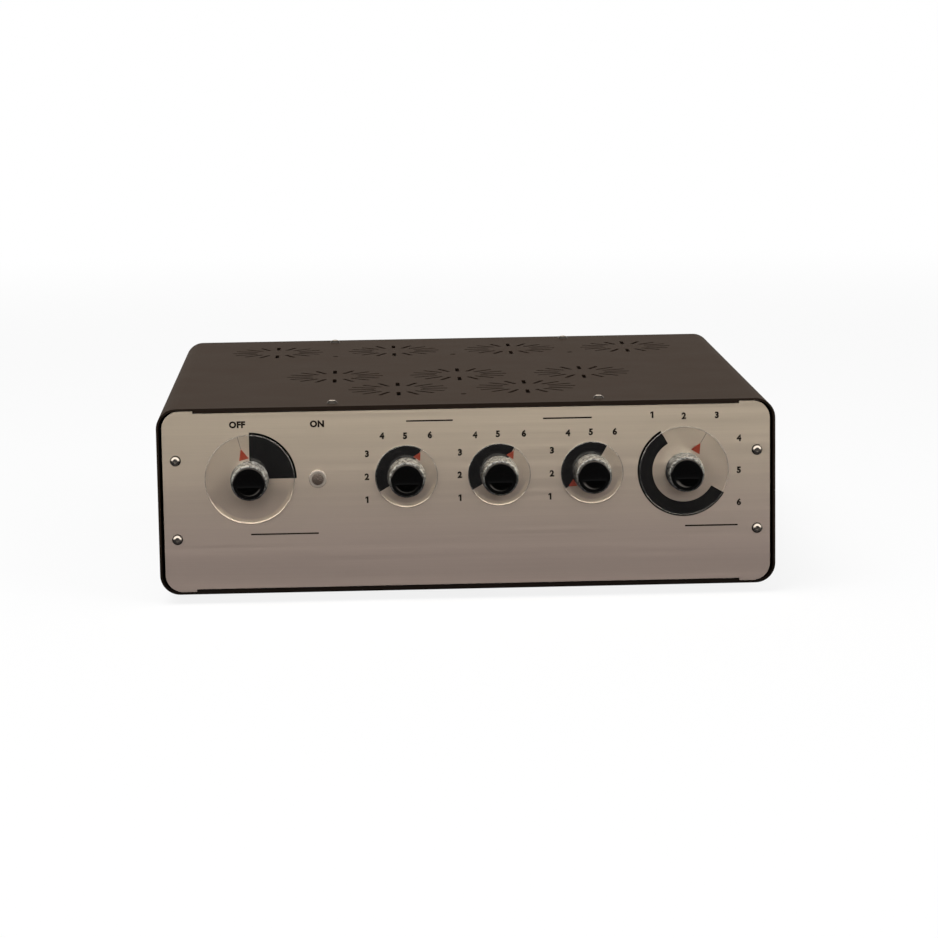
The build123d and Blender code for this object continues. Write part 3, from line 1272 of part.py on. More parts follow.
last_socket_x = SOCKET_COLUMNS[-1]
socket_tail_y = REAR_FACE_Y + contact_end
wafer_back_y = SHAFT_END_Y - SHAFT_TAIL
wafer_z = control_z - SIGNAL_LEAD_DROP
signal_lead = loom(
    [
        Vector(last_socket_x, socket_tail_y, CASE_Z + SOCKET_ROW_HIGH),
        Vector(last_socket_x, socket_tail_y - LOOM_TAIL, CASE_Z + SOCKET_ROW_HIGH),
        Vector(loom_x, socket_tail_y - LOOM_TAIL - LOOM_SHIFT, CASE_Z + SOCKET_ROW_HIGH),
        Vector(loom_x, wafer_back_y + LOOM_TAIL + LOOM_SHIFT, wafer_z),
        Vector(SOURCE_X, wafer_back_y + LOOM_TAIL, wafer_z),
        Vector(SOURCE_X, wafer_back_y, wafer_z),
    ]
)
with BuildPart() as signal_loom:
    add(signal_lead)
keep(signal_loom, "signal_loom")
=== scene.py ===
from math import atan2, cos, pi, radians, sin, sqrt

import bpy
from bpy.props import FloatProperty, FloatVectorProperty, PointerProperty
from mathutils import Euler, Matrix, Vector


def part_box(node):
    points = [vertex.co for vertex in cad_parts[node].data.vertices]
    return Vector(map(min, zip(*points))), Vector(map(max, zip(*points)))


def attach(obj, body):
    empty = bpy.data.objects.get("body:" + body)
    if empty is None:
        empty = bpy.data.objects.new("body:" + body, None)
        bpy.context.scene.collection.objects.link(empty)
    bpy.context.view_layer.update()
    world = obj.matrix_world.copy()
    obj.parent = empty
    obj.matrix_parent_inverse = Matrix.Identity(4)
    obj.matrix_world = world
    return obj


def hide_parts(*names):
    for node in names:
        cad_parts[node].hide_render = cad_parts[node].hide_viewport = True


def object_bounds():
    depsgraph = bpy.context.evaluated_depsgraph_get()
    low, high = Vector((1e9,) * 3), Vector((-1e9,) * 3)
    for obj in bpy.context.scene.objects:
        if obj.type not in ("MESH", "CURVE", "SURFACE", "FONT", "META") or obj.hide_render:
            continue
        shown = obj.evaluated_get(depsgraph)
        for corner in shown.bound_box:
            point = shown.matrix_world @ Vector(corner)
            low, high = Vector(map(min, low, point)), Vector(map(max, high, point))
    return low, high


bl_info = {
    "name": "Phono preamp",
    "version": (1, 0, 0),
    "blender": (4, 5, 0),
    "location": "View3D > Sidebar > Preamp",
    "description": "Print, pointers and finishes of a phono preamp, and its studio",
    "category": "Object",
}

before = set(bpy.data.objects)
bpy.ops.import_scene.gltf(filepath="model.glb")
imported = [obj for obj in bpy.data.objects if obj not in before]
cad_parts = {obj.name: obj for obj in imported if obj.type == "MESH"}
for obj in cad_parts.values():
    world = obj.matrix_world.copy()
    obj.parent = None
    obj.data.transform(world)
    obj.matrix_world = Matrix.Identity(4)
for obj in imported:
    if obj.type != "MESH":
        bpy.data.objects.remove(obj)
CAD_BOX = [list(corner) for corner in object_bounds()]


# ---- places read from the frame
def middle_of(node):
    """Middle of a CAD node's box."""
    low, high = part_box(node)
    return (low + high) / 2


def radius_of(node):
    """Radius of a round CAD node whose axis runs from front to back."""
    low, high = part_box(node)
    return (high.x - low.x) / 2


KNOBS = ("power", "low", "mid", "high", "source")
PANEL_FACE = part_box("front_panel")[0].y
REAR_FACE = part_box("rear_panel")[1].y
CASE_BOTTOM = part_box("bottom_cover")[0].z
AXIS = {knob: middle_of(f"{knob}_knob_cap") for knob in KNOBS}
DIAL_RADIUS = {knob: radius_of(f"{knob}_knob_dial") for knob in KNOBS}
DIAL_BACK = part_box("mid_knob_dial")[1].y
GRIP_RADIUS = radius_of("mid_knob_grip")
GRIP_FRONT, GRIP_BACK = (corner.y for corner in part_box("mid_knob_grip"))
CAP_RADIUS = radius_of("mid_knob_cap")
CAP_FRONT, CAP_BACK = (corner.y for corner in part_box("mid_knob_cap"))

# ---- places of the print
# lengths in millimetres, and places from a knob's axis, to the right and up
NUMBERS = dict(
    low=((-27.7, -16.3), (-27.4, -0.1), (-27.1, 16), (-16.5, 28.4), (-0.5, 28.1), (16.8, 28.5)),
    mid=((-27.6, -16.2), (-27.4, 0), (-27.1, 15.8), (-16.5, 27.8), (-0.6, 28.2), (17.5, 28.2)),
    high=((-29.5, -16.5), (-27.9, -0.3), (-27.7, 15.9), (-16.5, 27.9), (-0.5, 28.3), (16.2, 28.3)),
    source=((-22.1, 39.4), (0.2, 38.3), (23.2, 38.5), (38.6, 22), (38.5, -0.5), (38.5, -23.1)),
)
POWER_WORDS = (("OFF", -7.9, 38.1), ("ON", 47.3, 37.7))
# a rule's knob, its two ends and its height
RULES = (
    ("power", -0.2, 47.0, -39.1),
    ("low", 0.4, 32.9, 38.4),
    ("mid", 30.8, 64.9, 38.4),
    ("source", 0.6, 37.7, -39.2),
)
# clockwise angles from the top of a knob, in degrees: where an arc starts and how far it runs
ARCS = {
    "power": (0, 90),
    "low": (-120, 150),
    "mid": (-120, 150),
    "high": (-120, 150),
    "source": (120, 210),
}
ARC_STEP = 3  # degrees
# a pointer's clockwise angle, the distance from the axis to its base, its length and its width
POINTERS = {
    "power": (-15, 14.2, 8.0, 7.0),
    "low": (31, 14.0, 5.4, 5.8),
    "mid": (32, 14.0, 5.4, 5.8),
    "high": (-120, 13.6, 5.4, 5.8),
    "source": (31, 15.2, 7.2, 7.0),
}
POINTER_CORNER = 0.0003
FILM_GAP = 2e-5  # between a dial and the pointer behind it
HAIRLINE_INSET = 0.0002  # from the dial's edge
SHORTEST_HAIRLINE = 0.001
# the phono inputs' columns at the rear, and their numbers' height over the case's bottom
INPUT_COLUMNS = (50, 74, 98, 122, 146, 170)
INPUT_NUMBER_HEIGHT = 99
# shares of the type size: a plain figure's height and a 1's stem; and the letters' spacing
FIGURE_HEIGHT, FIGURE_STEM, LETTER_SPACING = 0.682, 0.098, 1.06

# ---- small parts
SCREW_HEAD = 0.0038  # radius of the screws' heads on the panels and on top
CAP_EDGE_STEPS, CAP_DISH_STEPS = 5, 15
LENS_STAND = 0.0004  # straight side of the lamp's lens, before its dome
BAND_WALL, BAND_LIFT = 0.0003, 4e-5  # a knurled band's wall, and its way out of the metal below
NUT_KNURL = 0.6  # the earth nut's knurl, as a share of the grips'

# ---- lengths in the finishes
PANEL_SHADING = (0.02, 0.13)  # heights between which the panel's colour goes from its painted shade at the bottom to its top colour
FOOT_SHADING = (0.006, 0.045)  # heights over the case's bottom between which the painted shade at the case's foot fades
DIAL_LIGHT_WIDTH = 0.0036  # of the painted pool of light under a dial's edge
DIAL_EDGE = (0.0008, 0.0004)  # ground edge of a dial
LAMINATION, TAPE_WIDTH = 0.0005, 0.009  # of the transformer's core and coil
GETTER = (0.013, 0.007)  # from a valve's top down to its silver
FERRULE = (0.0052, 0.0050)  # from a fuse's end to its glass

# ---- the studio
FLOOR_DROP = 5e-5  # floor under the feet
CAMERA_PLACE = (-0.0727, -2.35825, 0.4238)
CAMERA_TURN = (81.2647, 0.8323, -2.2009)  # degrees
CAMERA_LENS, CAMERA_SHIFT = 120.55, (-0.0064, -0.0012)
# a lamp's name, place, power in watts and side
LAMPS = (("key_lamp", (-0.9, -1.0, 3.0), 80, 2.2), ("fill_lamp", (1.9, -1.8, 1.5), 24, 1.6))
LAMP_AIM = (0, 0, 0.05)


# ---- sizes and colours to change
def size(name, description, default):
    """A length that the user can change."""
    return FloatProperty(
        name=name, description=description, default=default, unit="LENGTH", precision=5
    )


def tone(name, description, default):
    """A colour that the user can change."""
    return FloatVectorProperty(
        name=name, description=description, default=default, subtype="COLOR", size=3, min=0, max=1
    )


class PreampSizes(bpy.types.PropertyGroup):
    """Sizes of the print, the pointers and the studio"""

    ink: size("Ink", "Thickness of the print", 6e-5)
    number_height: size("Numbers", "Height of the numbers round the knobs", 0.0047)
    word_height: size("Words", "Height of the words at the power switch", 0.0048)
    letter_weight: FloatProperty(
        name="Letter weight",
        description="Share of its size that a letter's edges grow by",
        default=0.055,
    )
    rule: size("Rules", "Thickness of the printed rules", 0.0011)
    power_arc_inner: size("Power quadrant, inner", "Inner radius of the black quadrant", 0.0095)
    power_arc_outer: size("Power quadrant, outer", "Outer radius of the black quadrant", 0.0325)
    small_arc_inner: size("Small arcs, inner", "Inner radius of the three small arcs", 0.0128)
    small_arc_outer: size("Small arcs, outer", "Outer radius of the three small arcs", 0.0213)
    source_arc_inner: size("Source arc, inner", "Inner radius of the source switch's arc", 0.0220)
    source_arc_outer: size("Source arc, outer", "Outer radius of the source switch's arc", 0.0324)
    hairline: size("Hairline", "Width of the line from a triangle to the dial's edge", 0.00025)
    knurl_pitch: size("Knurl pitch", "From point to point along a knob's knurled band", 0.0021)
    knurl_height: size("Knurl height", "How far the knurled band's points stand up", 0.00042)
    grip_tip_radius: size("Grip tip", "Radius of a grip at its front edge", 0.0121)
    grip_edge: size("Grip edges", "Plain metal before and behind the knurled band", 0.0010)
    nut_edge: size("Nut edges", "Plain metal beside the earth nut's knurled band", 0.0012)
    cap_edge: size("Cap edge", "Rounding of a cap's edge", 0.0008)
    lens_radius: size("Lens radius", "Radius of the pilot lamp's lens", 0.0040)
    lens_dome: size("Lens dome", "How far the lens's middle stands before its edge", 0.0013)
    lens_facet: size("Lens facets", "How far the points of the lens's facets stand up", 0.0003)
    dish_radius: size("Dish radius", "Radius of the dished middle of a cap", 0.0092)
    dish_depth: size("Dish depth", "Depth of the dished middle of a cap", 0.0012)
    floor_reach: size("Floor", "Side of the studio's floor", 120.0)


class PreampColours(bpy.types.PropertyGroup):
    """Colours of the finishes"""

    panel: tone("Panel", "Brushed metal of the front panel, at its top", (0.69, 0.625, 0.52))
    # painted shade: the panel's colour at its bottom, darker than at its top
    panel_low: tone("Panel, low", "The same at its bottom", (0.535, 0.465, 0.437))
    cover: tone("Covers", "Textured paint of the two covers", (0.0100, 0.0065, 0.0045))
    side: tone("Side frames", "Textured paint of the side frames", (0.010, 0.0075, 0.006))
    rear: tone("Rear panel", "Textured paint of the rear panel", (0.030, 0.027, 0.024))
    ink: tone("Ink", "Print of the front's numbers, words and rules", (0.014, 0.011, 0.009))
    rear_ink: tone("Rear ink", "Print of the numbers behind", (0.80, 0.78, 0.74))
    scale: tone("Scales", "Print of the black arcs", (0.0012, 0.0014, 0.0012))
    pointer: tone("Pointers", "Red of the triangles on the dials", (0.36, 0.056, 0.028))
    grip: tone("Grips", "Satin aluminium of the knobs' grips", (0.172, 0.183, 0.186))
    cap: tone("Caps", "Gloss black of the knobs' caps", (0.0008, 0.0008, 0.0008))
    clear: tone("Dials", "Clear plastic of the dials", (1.0, 0.995, 0.985))
    lens: tone("Lens", "Unlit lens of the pilot lamp", (0.050, 0.036, 0.028))
    screw: tone("Screws", "Plated steel of the screws", (0.14, 0.135, 0.127))
    rubber: tone("Feet", "Rubber of the feet", (0.016, 0.016, 0.016))
    gilt: tone("Gilt", "Plating of the sockets and the earth terminal", (0.80, 0.55, 0.22))
    core: tone("Core", "Lacquered laminations of the transformer", (0.045, 0.046, 0.050))
    laminate: tone("Boards", "Laminate of the circuit boards", (0.035, 0.12, 0.045))
    sleeve: tone("Capacitors", "Sleeve of the filter capacitors", (0.020, 0.035, 0.085))
    floor: tone("Floor", "Pale floor of the studio", (0.88, 0.88, 0.88))


# ---- shaders
def math_node(operation, swapped=False):
    """A method that adds a Math node on a term and what stands after it, or before it."""

    def method(self, *others):
        values = (*others, self) if swapped else (self, *others)
        settings = {"operation": operation}
        return self.shader.add("ShaderNodeMath", settings, dict(enumerate(values)))

    return method


class Term:
    """A value in a shader; arithmetic on terms adds Math nodes."""

    def __init__(self, shader, socket):
        self.shader = shader
        self.socket = socket

    __add__ = math_node("ADD")
    __radd__ = math_node("ADD", swapped=True)
    __sub__ = math_node("SUBTRACT")
    __rsub__ = math_node("SUBTRACT", swapped=True)
    __mul__ = math_node("MULTIPLY")
    __rmul__ = math_node("MULTIPLY", swapped=True)
    __truediv__ = math_node("DIVIDE")
    __lt__ = math_node("LESS_THAN")
    __abs__ = math_node("ABSOLUTE")
    root = math_node("SQRT")
    fraction = math_node("FRACT")

    def between(self, low, high):
        """0 below low, 1 above high and a smooth step in between."""
        settings = {"interpolation_type": "SMOOTHSTEP"}
        return self.shader.add("ShaderNodeMapRange", settings, {0: self, 1: low, 2: high})


class Shader:
    """The nodes of one finish."""

    def __init__(self, holder):
        holder.use_nodes = True
        self.holder, self.tree = holder, holder.node_tree
        self.tree.nodes.clear()

    def node(self, kind, settings=None, inputs=None):
        """Add a node: its settings first, then the values or links of its sockets."""
        node = self.tree.nodes.new(kind)
        for name, value in (settings or {}).items():
            setattr(node, name, value)
        for name, value in (inputs or {}).items():
            socket = node.inputs[name]
            if isinstance(value, Term):
                self.tree.links.new(value.socket, socket)
            elif socket.type == "RGBA":
                socket.default_value = (*value, 1.0)
            else:
                socket.default_value = value
        return node

    def add(self, kind, settings=None, inputs=None, output=0):
        """Add a node and return one of its outputs as a term."""
        return Term(self, self.node(kind, settings, inputs).outputs[output])

    def place(self, scale=1, origin=(0, 0, 0)):
        """Object coordinates, scaled by one number or by one for each axis, from an origin."""
        place = self.add("ShaderNodeTexCoord", output="Object")
        scales = scale if isinstance(scale, tuple) else (scale, scale, scale)
        back = tuple(-value for value in origin)
        inputs = {"Vector": place, "Location": back, "Scale": scales}
        return self.add("ShaderNodeMapping", inputs=inputs)

    def split(self, vector):
        """The three parts of a vector."""
        node = self.node("ShaderNodeSeparateXYZ", inputs={"Vector": vector})
        return [Term(self, socket) for socket in node.outputs]

    def reach(self, axis):
        """Distance from an axis that runs from front to back, and its parts across and up."""
        across, _, up = self.split(self.place(origin=axis))
        return (across * across + up * up).root(), across, up

    def noise(self, scale, detail=2.0, roughness=0.5):
        """Cloudy noise from 0 to 1."""
        inputs = {"Scale": 1.0, "Detail": detail, "Roughness": roughness}
        return self.add("ShaderNodeTexNoise", inputs={"Vector": self.place(scale), **inputs})

    def cells(self, scale, feature="F1"):
        """Voronoi cells."""
        inputs = {"Vector": self.place(scale), "Scale": 1.0}
        return self.add("ShaderNodeTexVoronoi", {"feature": feature}, inputs, "Distance")

    def rays(self):
        """Whether a ray is the camera's, a glossy one, and one that passes through something."""
        outputs = self.node("ShaderNodeLightPath").outputs
        names = ("Is Camera Ray", "Is Glossy Ray", "Is Transmission Ray")
        return [Term(self, outputs[name]) for name in names]

    def blend(self, factor, first, second):
        """A colour between two."""
        inputs = {0: factor, 6: first, 7: second}
        return self.add("ShaderNodeMix", {"data_type": "RGBA"}, inputs, 2)

    def mottled(self, factor, base, first, second):
        """A colour between two shares of a base colour."""
        return self.blend(factor, dyed(base, first), dyed(base, second))

    def bump(self, height, distance, strength=1.0):
        """A normal from a height between 0 and 1."""
        inputs = {"Strength": strength, "Distance": distance, "Height": height}
        return self.add("ShaderNodeBump", inputs=inputs)

    def principled(self, **inputs):
        """A Principled surface, with underscores for the spaces in its sockets' names."""
        named = {name.replace("_", " "): value for name, value in inputs.items()}
        return self.add("ShaderNodeBsdfPrincipled", inputs=named)

    def end(self, surface, output="ShaderNodeOutputMaterial"):
        """Link a surface to the finish's output."""
        self.node(output, inputs={"Surface": surface})
        return self.holder

    def surface(self, **inputs):
        """End the finish with one Principled surface."""
        return self.end(self.principled(**inputs))

    def mixture(self, factor, first, second):
        """End the finish with a mixture of two surfaces."""
        return self.end(self.add("ShaderNodeMixShader", inputs={0: factor, 1: first, 2: second}))


def new_finish(name):
    """A material with no nodes yet."""
    return Shader(bpy.data.materials.new(name))


def dyed(base, share):
    """A colour made lighter or darker by a share."""
    return tuple(min(value * share, 1.0) for value in base)


def brushed_aluminium(name, top, low, roughness, dials_with_painted_light=()):
    """Aluminium brushed along its length, with a colour at its top and a darker one at its bottom:
    painted shade between them.

    Painted light makes it pale under the feet of some knobs' dials, where light comes through their
    clear edges.
    """
    shader = new_finish(name)
    lines = 0.6 * shader.noise((10, 10, 2600), 3.0, 0.6) + 0.4 * shader.noise((3, 3, 420))
    # painted shade: the colour darkens with height, from the top colour down to the bottom one
    height = shader.split(shader.place())[2].between(*PANEL_SHADING)
    metal = shader.blend(
        height, shader.mottled(lines, low, 0.86, 1.12), shader.mottled(lines, top, 0.86, 1.12)
    )
    # painted light: a pale pool on the panel, just inside the lower edge of each of these dials
    for knob in dials_with_painted_light:
        radius = DIAL_RADIUS[knob]
        reach, across, up = shader.reach(AXIS[knob])
        inside = 1 - reach.between(radius - 0.0004, radius + 0.0002)
        ring = reach.between(radius - DIAL_LIGHT_WIDTH, radius - DIAL_LIGHT_WIDTH / 2) * inside
        foot = (0.2 * across - up).between(0.30 * radius, 0.58 * radius)
        metal = shader.blend(0.6 * ring * foot, metal, dyed(top, 1.3))
    return shader.surface(
        Base_Color=metal,
        Metallic=1.0,
        Roughness=roughness - 0.06 + 0.14 * lines,
        Normal=shader.bump(lines, 2e-5, 0.35),
    )


def textured_paint(name, base, roughness=0.66, specular=0.045, foot=1.0):
    """Baked paint with a fine even texture, darker by a share at the case's foot as painted shade.
    """
    shader = new_finish(name)
    texture = shader.noise(1900)
    wear = shader.noise(22, 3.0)
    mottle = 0.5 * texture + 0.5 * wear
    paint = shader.mottled(mottle, base, 0.7, 1.4)
    # painted shade: the paint darkens by a share towards the case's foot, where the case shades
    # itself
    if foot < 1.0:
        up = shader.split(shader.place(origin=(0, 0, CASE_BOTTOM)))[2].between(*FOOT_SHADING)
        paint = shader.blend(up, shader.mottled(mottle, base, 0.7 * foot, 1.4 * foot), paint)
    return shader.surface(
        Base_Color=paint,
        Roughness=roughness - 0.05 + 0.10 * wear,
        Specular_IOR_Level=specular,
        Normal=shader.bump(texture, 6e-5, 0.6),
    )


def plated_metal(name, base, roughness, cloud):
    """Metal with slightly cloudy plating."""
    shader = new_finish(name)
    clouds = shader.noise(cloud, 4.0)
    return shader.surface(
        Base_Color=shader.mottled(clouds, base, 0.82, 1.1),
        Metallic=1.0,
        Roughness=roughness - 0.05 + 0.12 * clouds,
        Normal=shader.bump(shader.noise(1500, 1.0), 1e-5, 0.3),
    )


def rimmed_heads(name, base, node, along, bright, rim):
    """Plated screws, lighter in the middle by a painted highlight and darkened by painted shade
    between two shares of their heads' radius.

    The heads lie in pairs, mirrored about the case's middle and about their own along an axis.
    """
    shader = new_finish(name)
    low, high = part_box(node)
    middle, half = (low[along] + high[along]) / 2, (high[along] - low[along]) / 2
    place = shader.split(shader.place())
    beside = abs(place[0]) - (high.x - SCREW_HEAD)
    beyond = abs(place[along] - middle) - (half - SCREW_HEAD)
    reach = (beside * beside + beyond * beyond).root()
    # painted shade darkens each head towards its rim and round it, and a painted highlight lightens
    # its middle
    rim_shade = reach.between(rim[0] * SCREW_HEAD, rim[1] * SCREW_HEAD)
    return shader.surface(
        Base_Color=shader.mottled(rim_shade, base, bright, 0.10),
        Metallic=1.0,
        Roughness=0.2 + 0.14 * shader.noise(300, 4.0),
    )


def turned_metal(name, base, roughness):
    """Metal turned on a lathe about an axis from front to back, with fine rings along it."""
    shader = new_finish(name)
    rings = shader.noise((30, 3000, 30))
    return shader.surface(
        Base_Color=shader.mottled(rings, base, 0.88, 1.08),
        Metallic=1.0,
        Roughness=roughness - 0.04 + 0.10 * rings,
        Normal=shader.bump(rings, 1e-5, 0.4),
    )


def satin_aluminium(name, base):
    """Blasted and anodised aluminium, with grime in patches."""
    shader = new_finish(name)
    clean = shader.noise(430, 3.0, 0.7).between(0.42, 0.58)
    return shader.surface(
        Base_Color=shader.mottled(clean, base, 0.28, 1.25),
        Metallic=1.0,
        Roughness=0.56 - 0.12 * clean,
        Normal=shader.bump(shader.noise(2400, 1.0), 2e-5, 0.3),
    )


def moulding(name, base, roughness, grain=900, depth=3e-5, specular=0.4):
    """Moulded plastic or rubber with a fine texture and a little dust."""
    shader = new_finish(name)
    dust = shader.noise(35, 4.0)
    return shader.surface(
        Base_Color=shader.mottled(dust, base, 0.8, 1.3),
        Roughness=roughness - 0.05 + 0.12 * dust,
        Specular_IOR_Level=specular,
        Normal=shader.bump(shader.noise(grain), depth, 0.4),
    )


def clear_plastic(knob, base):
    """Polished clear plastic of a knob's dial, with a few hazy rubs and a ground edge."""
    shader = new_finish(f"{knob}_clear_dial")
    haze = shader.noise(90, 4.0, 0.6)
    radius = DIAL_RADIUS[knob]
    edge = shader.reach(AXIS[knob])[0].between(*(radius - inset for inset in DIAL_EDGE))
    polished = shader.principled(
        Base_Color=shader.blend(edge, base, dyed(base, 0.7)),
        Roughness=0.015 + 0.03 * haze.between(0.6, 0.8),
        IOR=1.49,
        Specular_IOR_Level=0.12,
        Transmission_Weight=1.0,
    )
    ground = shader.principled(
        Base_Color=shader.mottled(haze, base, 0.62, 0.8), Roughness=0.28 + 0.2 * haze
    )
    return shader.mixture(0.05 * edge, polished, ground)


def clear_glass(shader, base, roughness):
    """Clear glass as one of a finish's surfaces."""
    return shader.principled(
        Base_Color=base, Roughness=roughness, IOR=1.5, Transmission_Weight=1.0
    )


def ink_print(name, base, roughness=0.65):
    """Screen print with a slightly uneven sheen."""
    shader = new_finish(name)
    film = shader.noise(1300)
    return shader.surface(
        Base_Color=shader.mottled(film, base, 0.75, 1.3),
        Roughness=roughness - 0.08 + 0.16 * film,
        Specular_IOR_Level=0.03,
    )


# ---- modelling
def leave_edit():
    """Go back to object mode."""
    bpy.ops.object.mode_set(mode="OBJECT")


def start_piece():
    """Leave edit mode and deselect everything, so that operators act on a new piece alone."""
    if bpy.context.object and bpy.context.object.mode != "OBJECT":
        leave_edit()
    bpy.ops.object.select_all(action="DESELECT")


def select(pieces):
    """Select some pieces alone; the first is the active one."""
    start_piece()
    for piece in pieces:
        piece.select_set(True)
    bpy.context.view_layer.objects.active = pieces[0]


def edit_all(piece):
    """Go to edit mode with the whole piece selected."""
    select([piece])
    bpy.ops.object.mode_set(mode="EDIT")
    bpy.ops.mesh.select_all(action="SELECT")


def settle(piece):
    """Move a new piece's place, turn and scale into its mesh."""
    select([piece])
    bpy.ops.object.transform_apply(location=True, rotation=True, scale=True)


def pick(piece, test, kind="EDGE"):
    """Select the edges or points whose every point passes a test, and go to edit mode."""
    select([piece])
    bpy.ops.object.mode_set(mode="EDIT")
    bpy.ops.mesh.select_mode(type=kind)
    bpy.ops.mesh.select_all(action="DESELECT")
    leave_edit()
    points = piece.data.vertices
    if kind == "EDGE":
        for edge in piece.data.edges:
            edge.select = all(test(points[end].co) for end in edge.vertices)
    else:
        for point in points:
            point.select = test(point.co)
    bpy.ops.object.mode_set(mode="EDIT")


def close_up(piece):
    """Merge doubled points, turn the faces outwards and make sure that the mesh is closed."""
    edit_all(piece)
    bpy.ops.mesh.remove_doubles(threshold=1e-6)
    bpy.ops.mesh.normals_make_consistent(inside=False)
    bpy.ops.mesh.select_all(action="DESELECT")
    bpy.ops.mesh.select_mode(type="EDGE")
    bpy.ops.mesh.select_non_manifold()
    leave_edit()
    loose = sum(edge.select for edge in piece.data.edges)
    if loose:
        raise RuntimeError(f"{piece.name} has {loose} open edges")
    return piece


def draw_out(step, share=1.0):
    """Extrude the selected face by a step towards the front, and scale it about its middle."""
    bpy.ops.mesh.extrude_region_move(TRANSFORM_OT_translate={"value": (0, -step, 0)})
    if share != 1.0:
        bpy.ops.transform.resize(value=(share, 1, share))


def one_per_knob(first):
    """A first knob's piece and its copies for the others, each with its own mesh."""
    pieces = [(KNOBS[0], first)]
    for knob in KNOBS[1:]:
        copy = first.copy()
        copy.data = first.data.copy()
        copy.data.transform(Matrix.Translation(AXIS[knob] - AXIS[KNOBS[0]]))
        bpy.context.scene.collection.objects.link(copy)
        pieces.append((knob, copy))
    return pieces


def finish_piece(pieces, name, material, body):
    """Join pieces into one, with its material and the body it rides on."""
    select(pieces)
    if len(pieces) > 1:
        bpy.ops.object.join()
    piece = pieces[0]
    piece.name = name
    piece.data.name = name
    piece.data.materials.clear()
    piece.data.materials.append(material)
    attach(piece, body)
    return piece


def finish_nodes(material, *nodes):
    """Give CAD nodes their material."""
    for node in nodes:
        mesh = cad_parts[node].data
        mesh.materials.clear()
        mesh.materials.append(material)


def finish_each(*rows):
    """Finish CAD nodes; a row is a kind of finish, its name, its nodes and its other values."""
    for kind, name, nodes, *values in rows:
        finish_nodes(kind(name, *values), *nodes.split())


def plane(width, height, middle=(0, 0, 0), turn=(0, 0, 0)):
    """A plane at its size and place, to be worked on."""
    start_piece()
    bpy.ops.mesh.primitive_plane_add(size=1, location=middle, rotation=turn)
    piece = bpy.context.object
    piece.scale = (width, height, 1)
    settle(piece)
    return piece


def disc(corners, middle, across, up):
    """An upright flat disc or polygon at its place, half its width and height given."""
    start_piece()
    bpy.ops.mesh.primitive_circle_add(
        vertices=corners, radius=1, fill_type="NGON", location=middle, rotation=(pi / 2, 0, 0)
    )
    piece = bpy.context.object
    piece.scale = (across, up, 1)
    settle(piece)
    return piece


def printed(piece, ink, corner, segments):
    """Round an upright flat piece's corners and draw out its thickness to the front."""
    edit_all(piece)
    bpy.ops.mesh.bevel(offset=corner, segments=segments, affect="VERTICES")
    bpy.ops.mesh.select_all(action="SELECT")
    draw_out(ink)
    return close_up(piece)


def turned(profile, back, steps=96):
    """A piece turned about an axis to the front: a circle, drawn out from ring to ring.

    The profile's points are radii and distances in front of the back's middle.
    """
    radius, reach = profile[0]
    piece = disc(steps, back, radius, radius)
    edit_all(piece)
    bpy.ops.mesh.select_mode(type="FACE")
    bpy.ops.mesh.select_all(action="SELECT")
    for next_radius, next_reach in profile[1:]:
        draw_out(next_reach - reach, next_radius / radius)
        radius, reach = next_radius, next_reach
    return close_up(piece)


def cap_profile(sizes):
    """Outline of a knob's cap: its rounded edge, its flat rim and its dished middle."""
    height = CAP_BACK - CAP_FRONT
    edge, rim, depth = sizes.cap_edge, sizes.dish_radius, sizes.dish_depth
    points = [(CAP_RADIUS, 0.0)]
    for step in range(CAP_EDGE_STEPS + 1):
        turn = radians(90 / CAP_EDGE_STEPS * step)
        points.append((CAP_RADIUS - edge * (1 - cos(turn)), height - edge * (1 - sin(turn))))
    sphere = (rim * rim + depth * depth) / (2 * depth)
    for step in range(CAP_DISH_STEPS):
        radius = rim * (1 - step / CAP_DISH_STEPS)
        points.append((radius, height - sqrt(sphere**2 - radius**2) + sphere - depth))
    return points


def faceted_lens(middle, sizes, steps=16, rings=4):
    """Domed lens of a lamp, each face of its front drawn up to a point."""
    points = [(sizes.lens_radius, 0.0), (sizes.lens_radius, LENS_STAND)]
    for ring in range(1, rings):
        share = 1 - ring / rings
        points.append((sizes.lens_radius * share, LENS_STAND + sizes.lens_dome * (1 - share**2)))
    piece = turned(points, middle, steps)
    pick(piece, lambda point: point.y < middle.y - LENS_STAND / 2, "VERT")
    bpy.ops.mesh.select_mode(type="FACE")
    bpy.ops.mesh.poke(offset=sizes.lens_facet)
    leave_edit()
    return piece


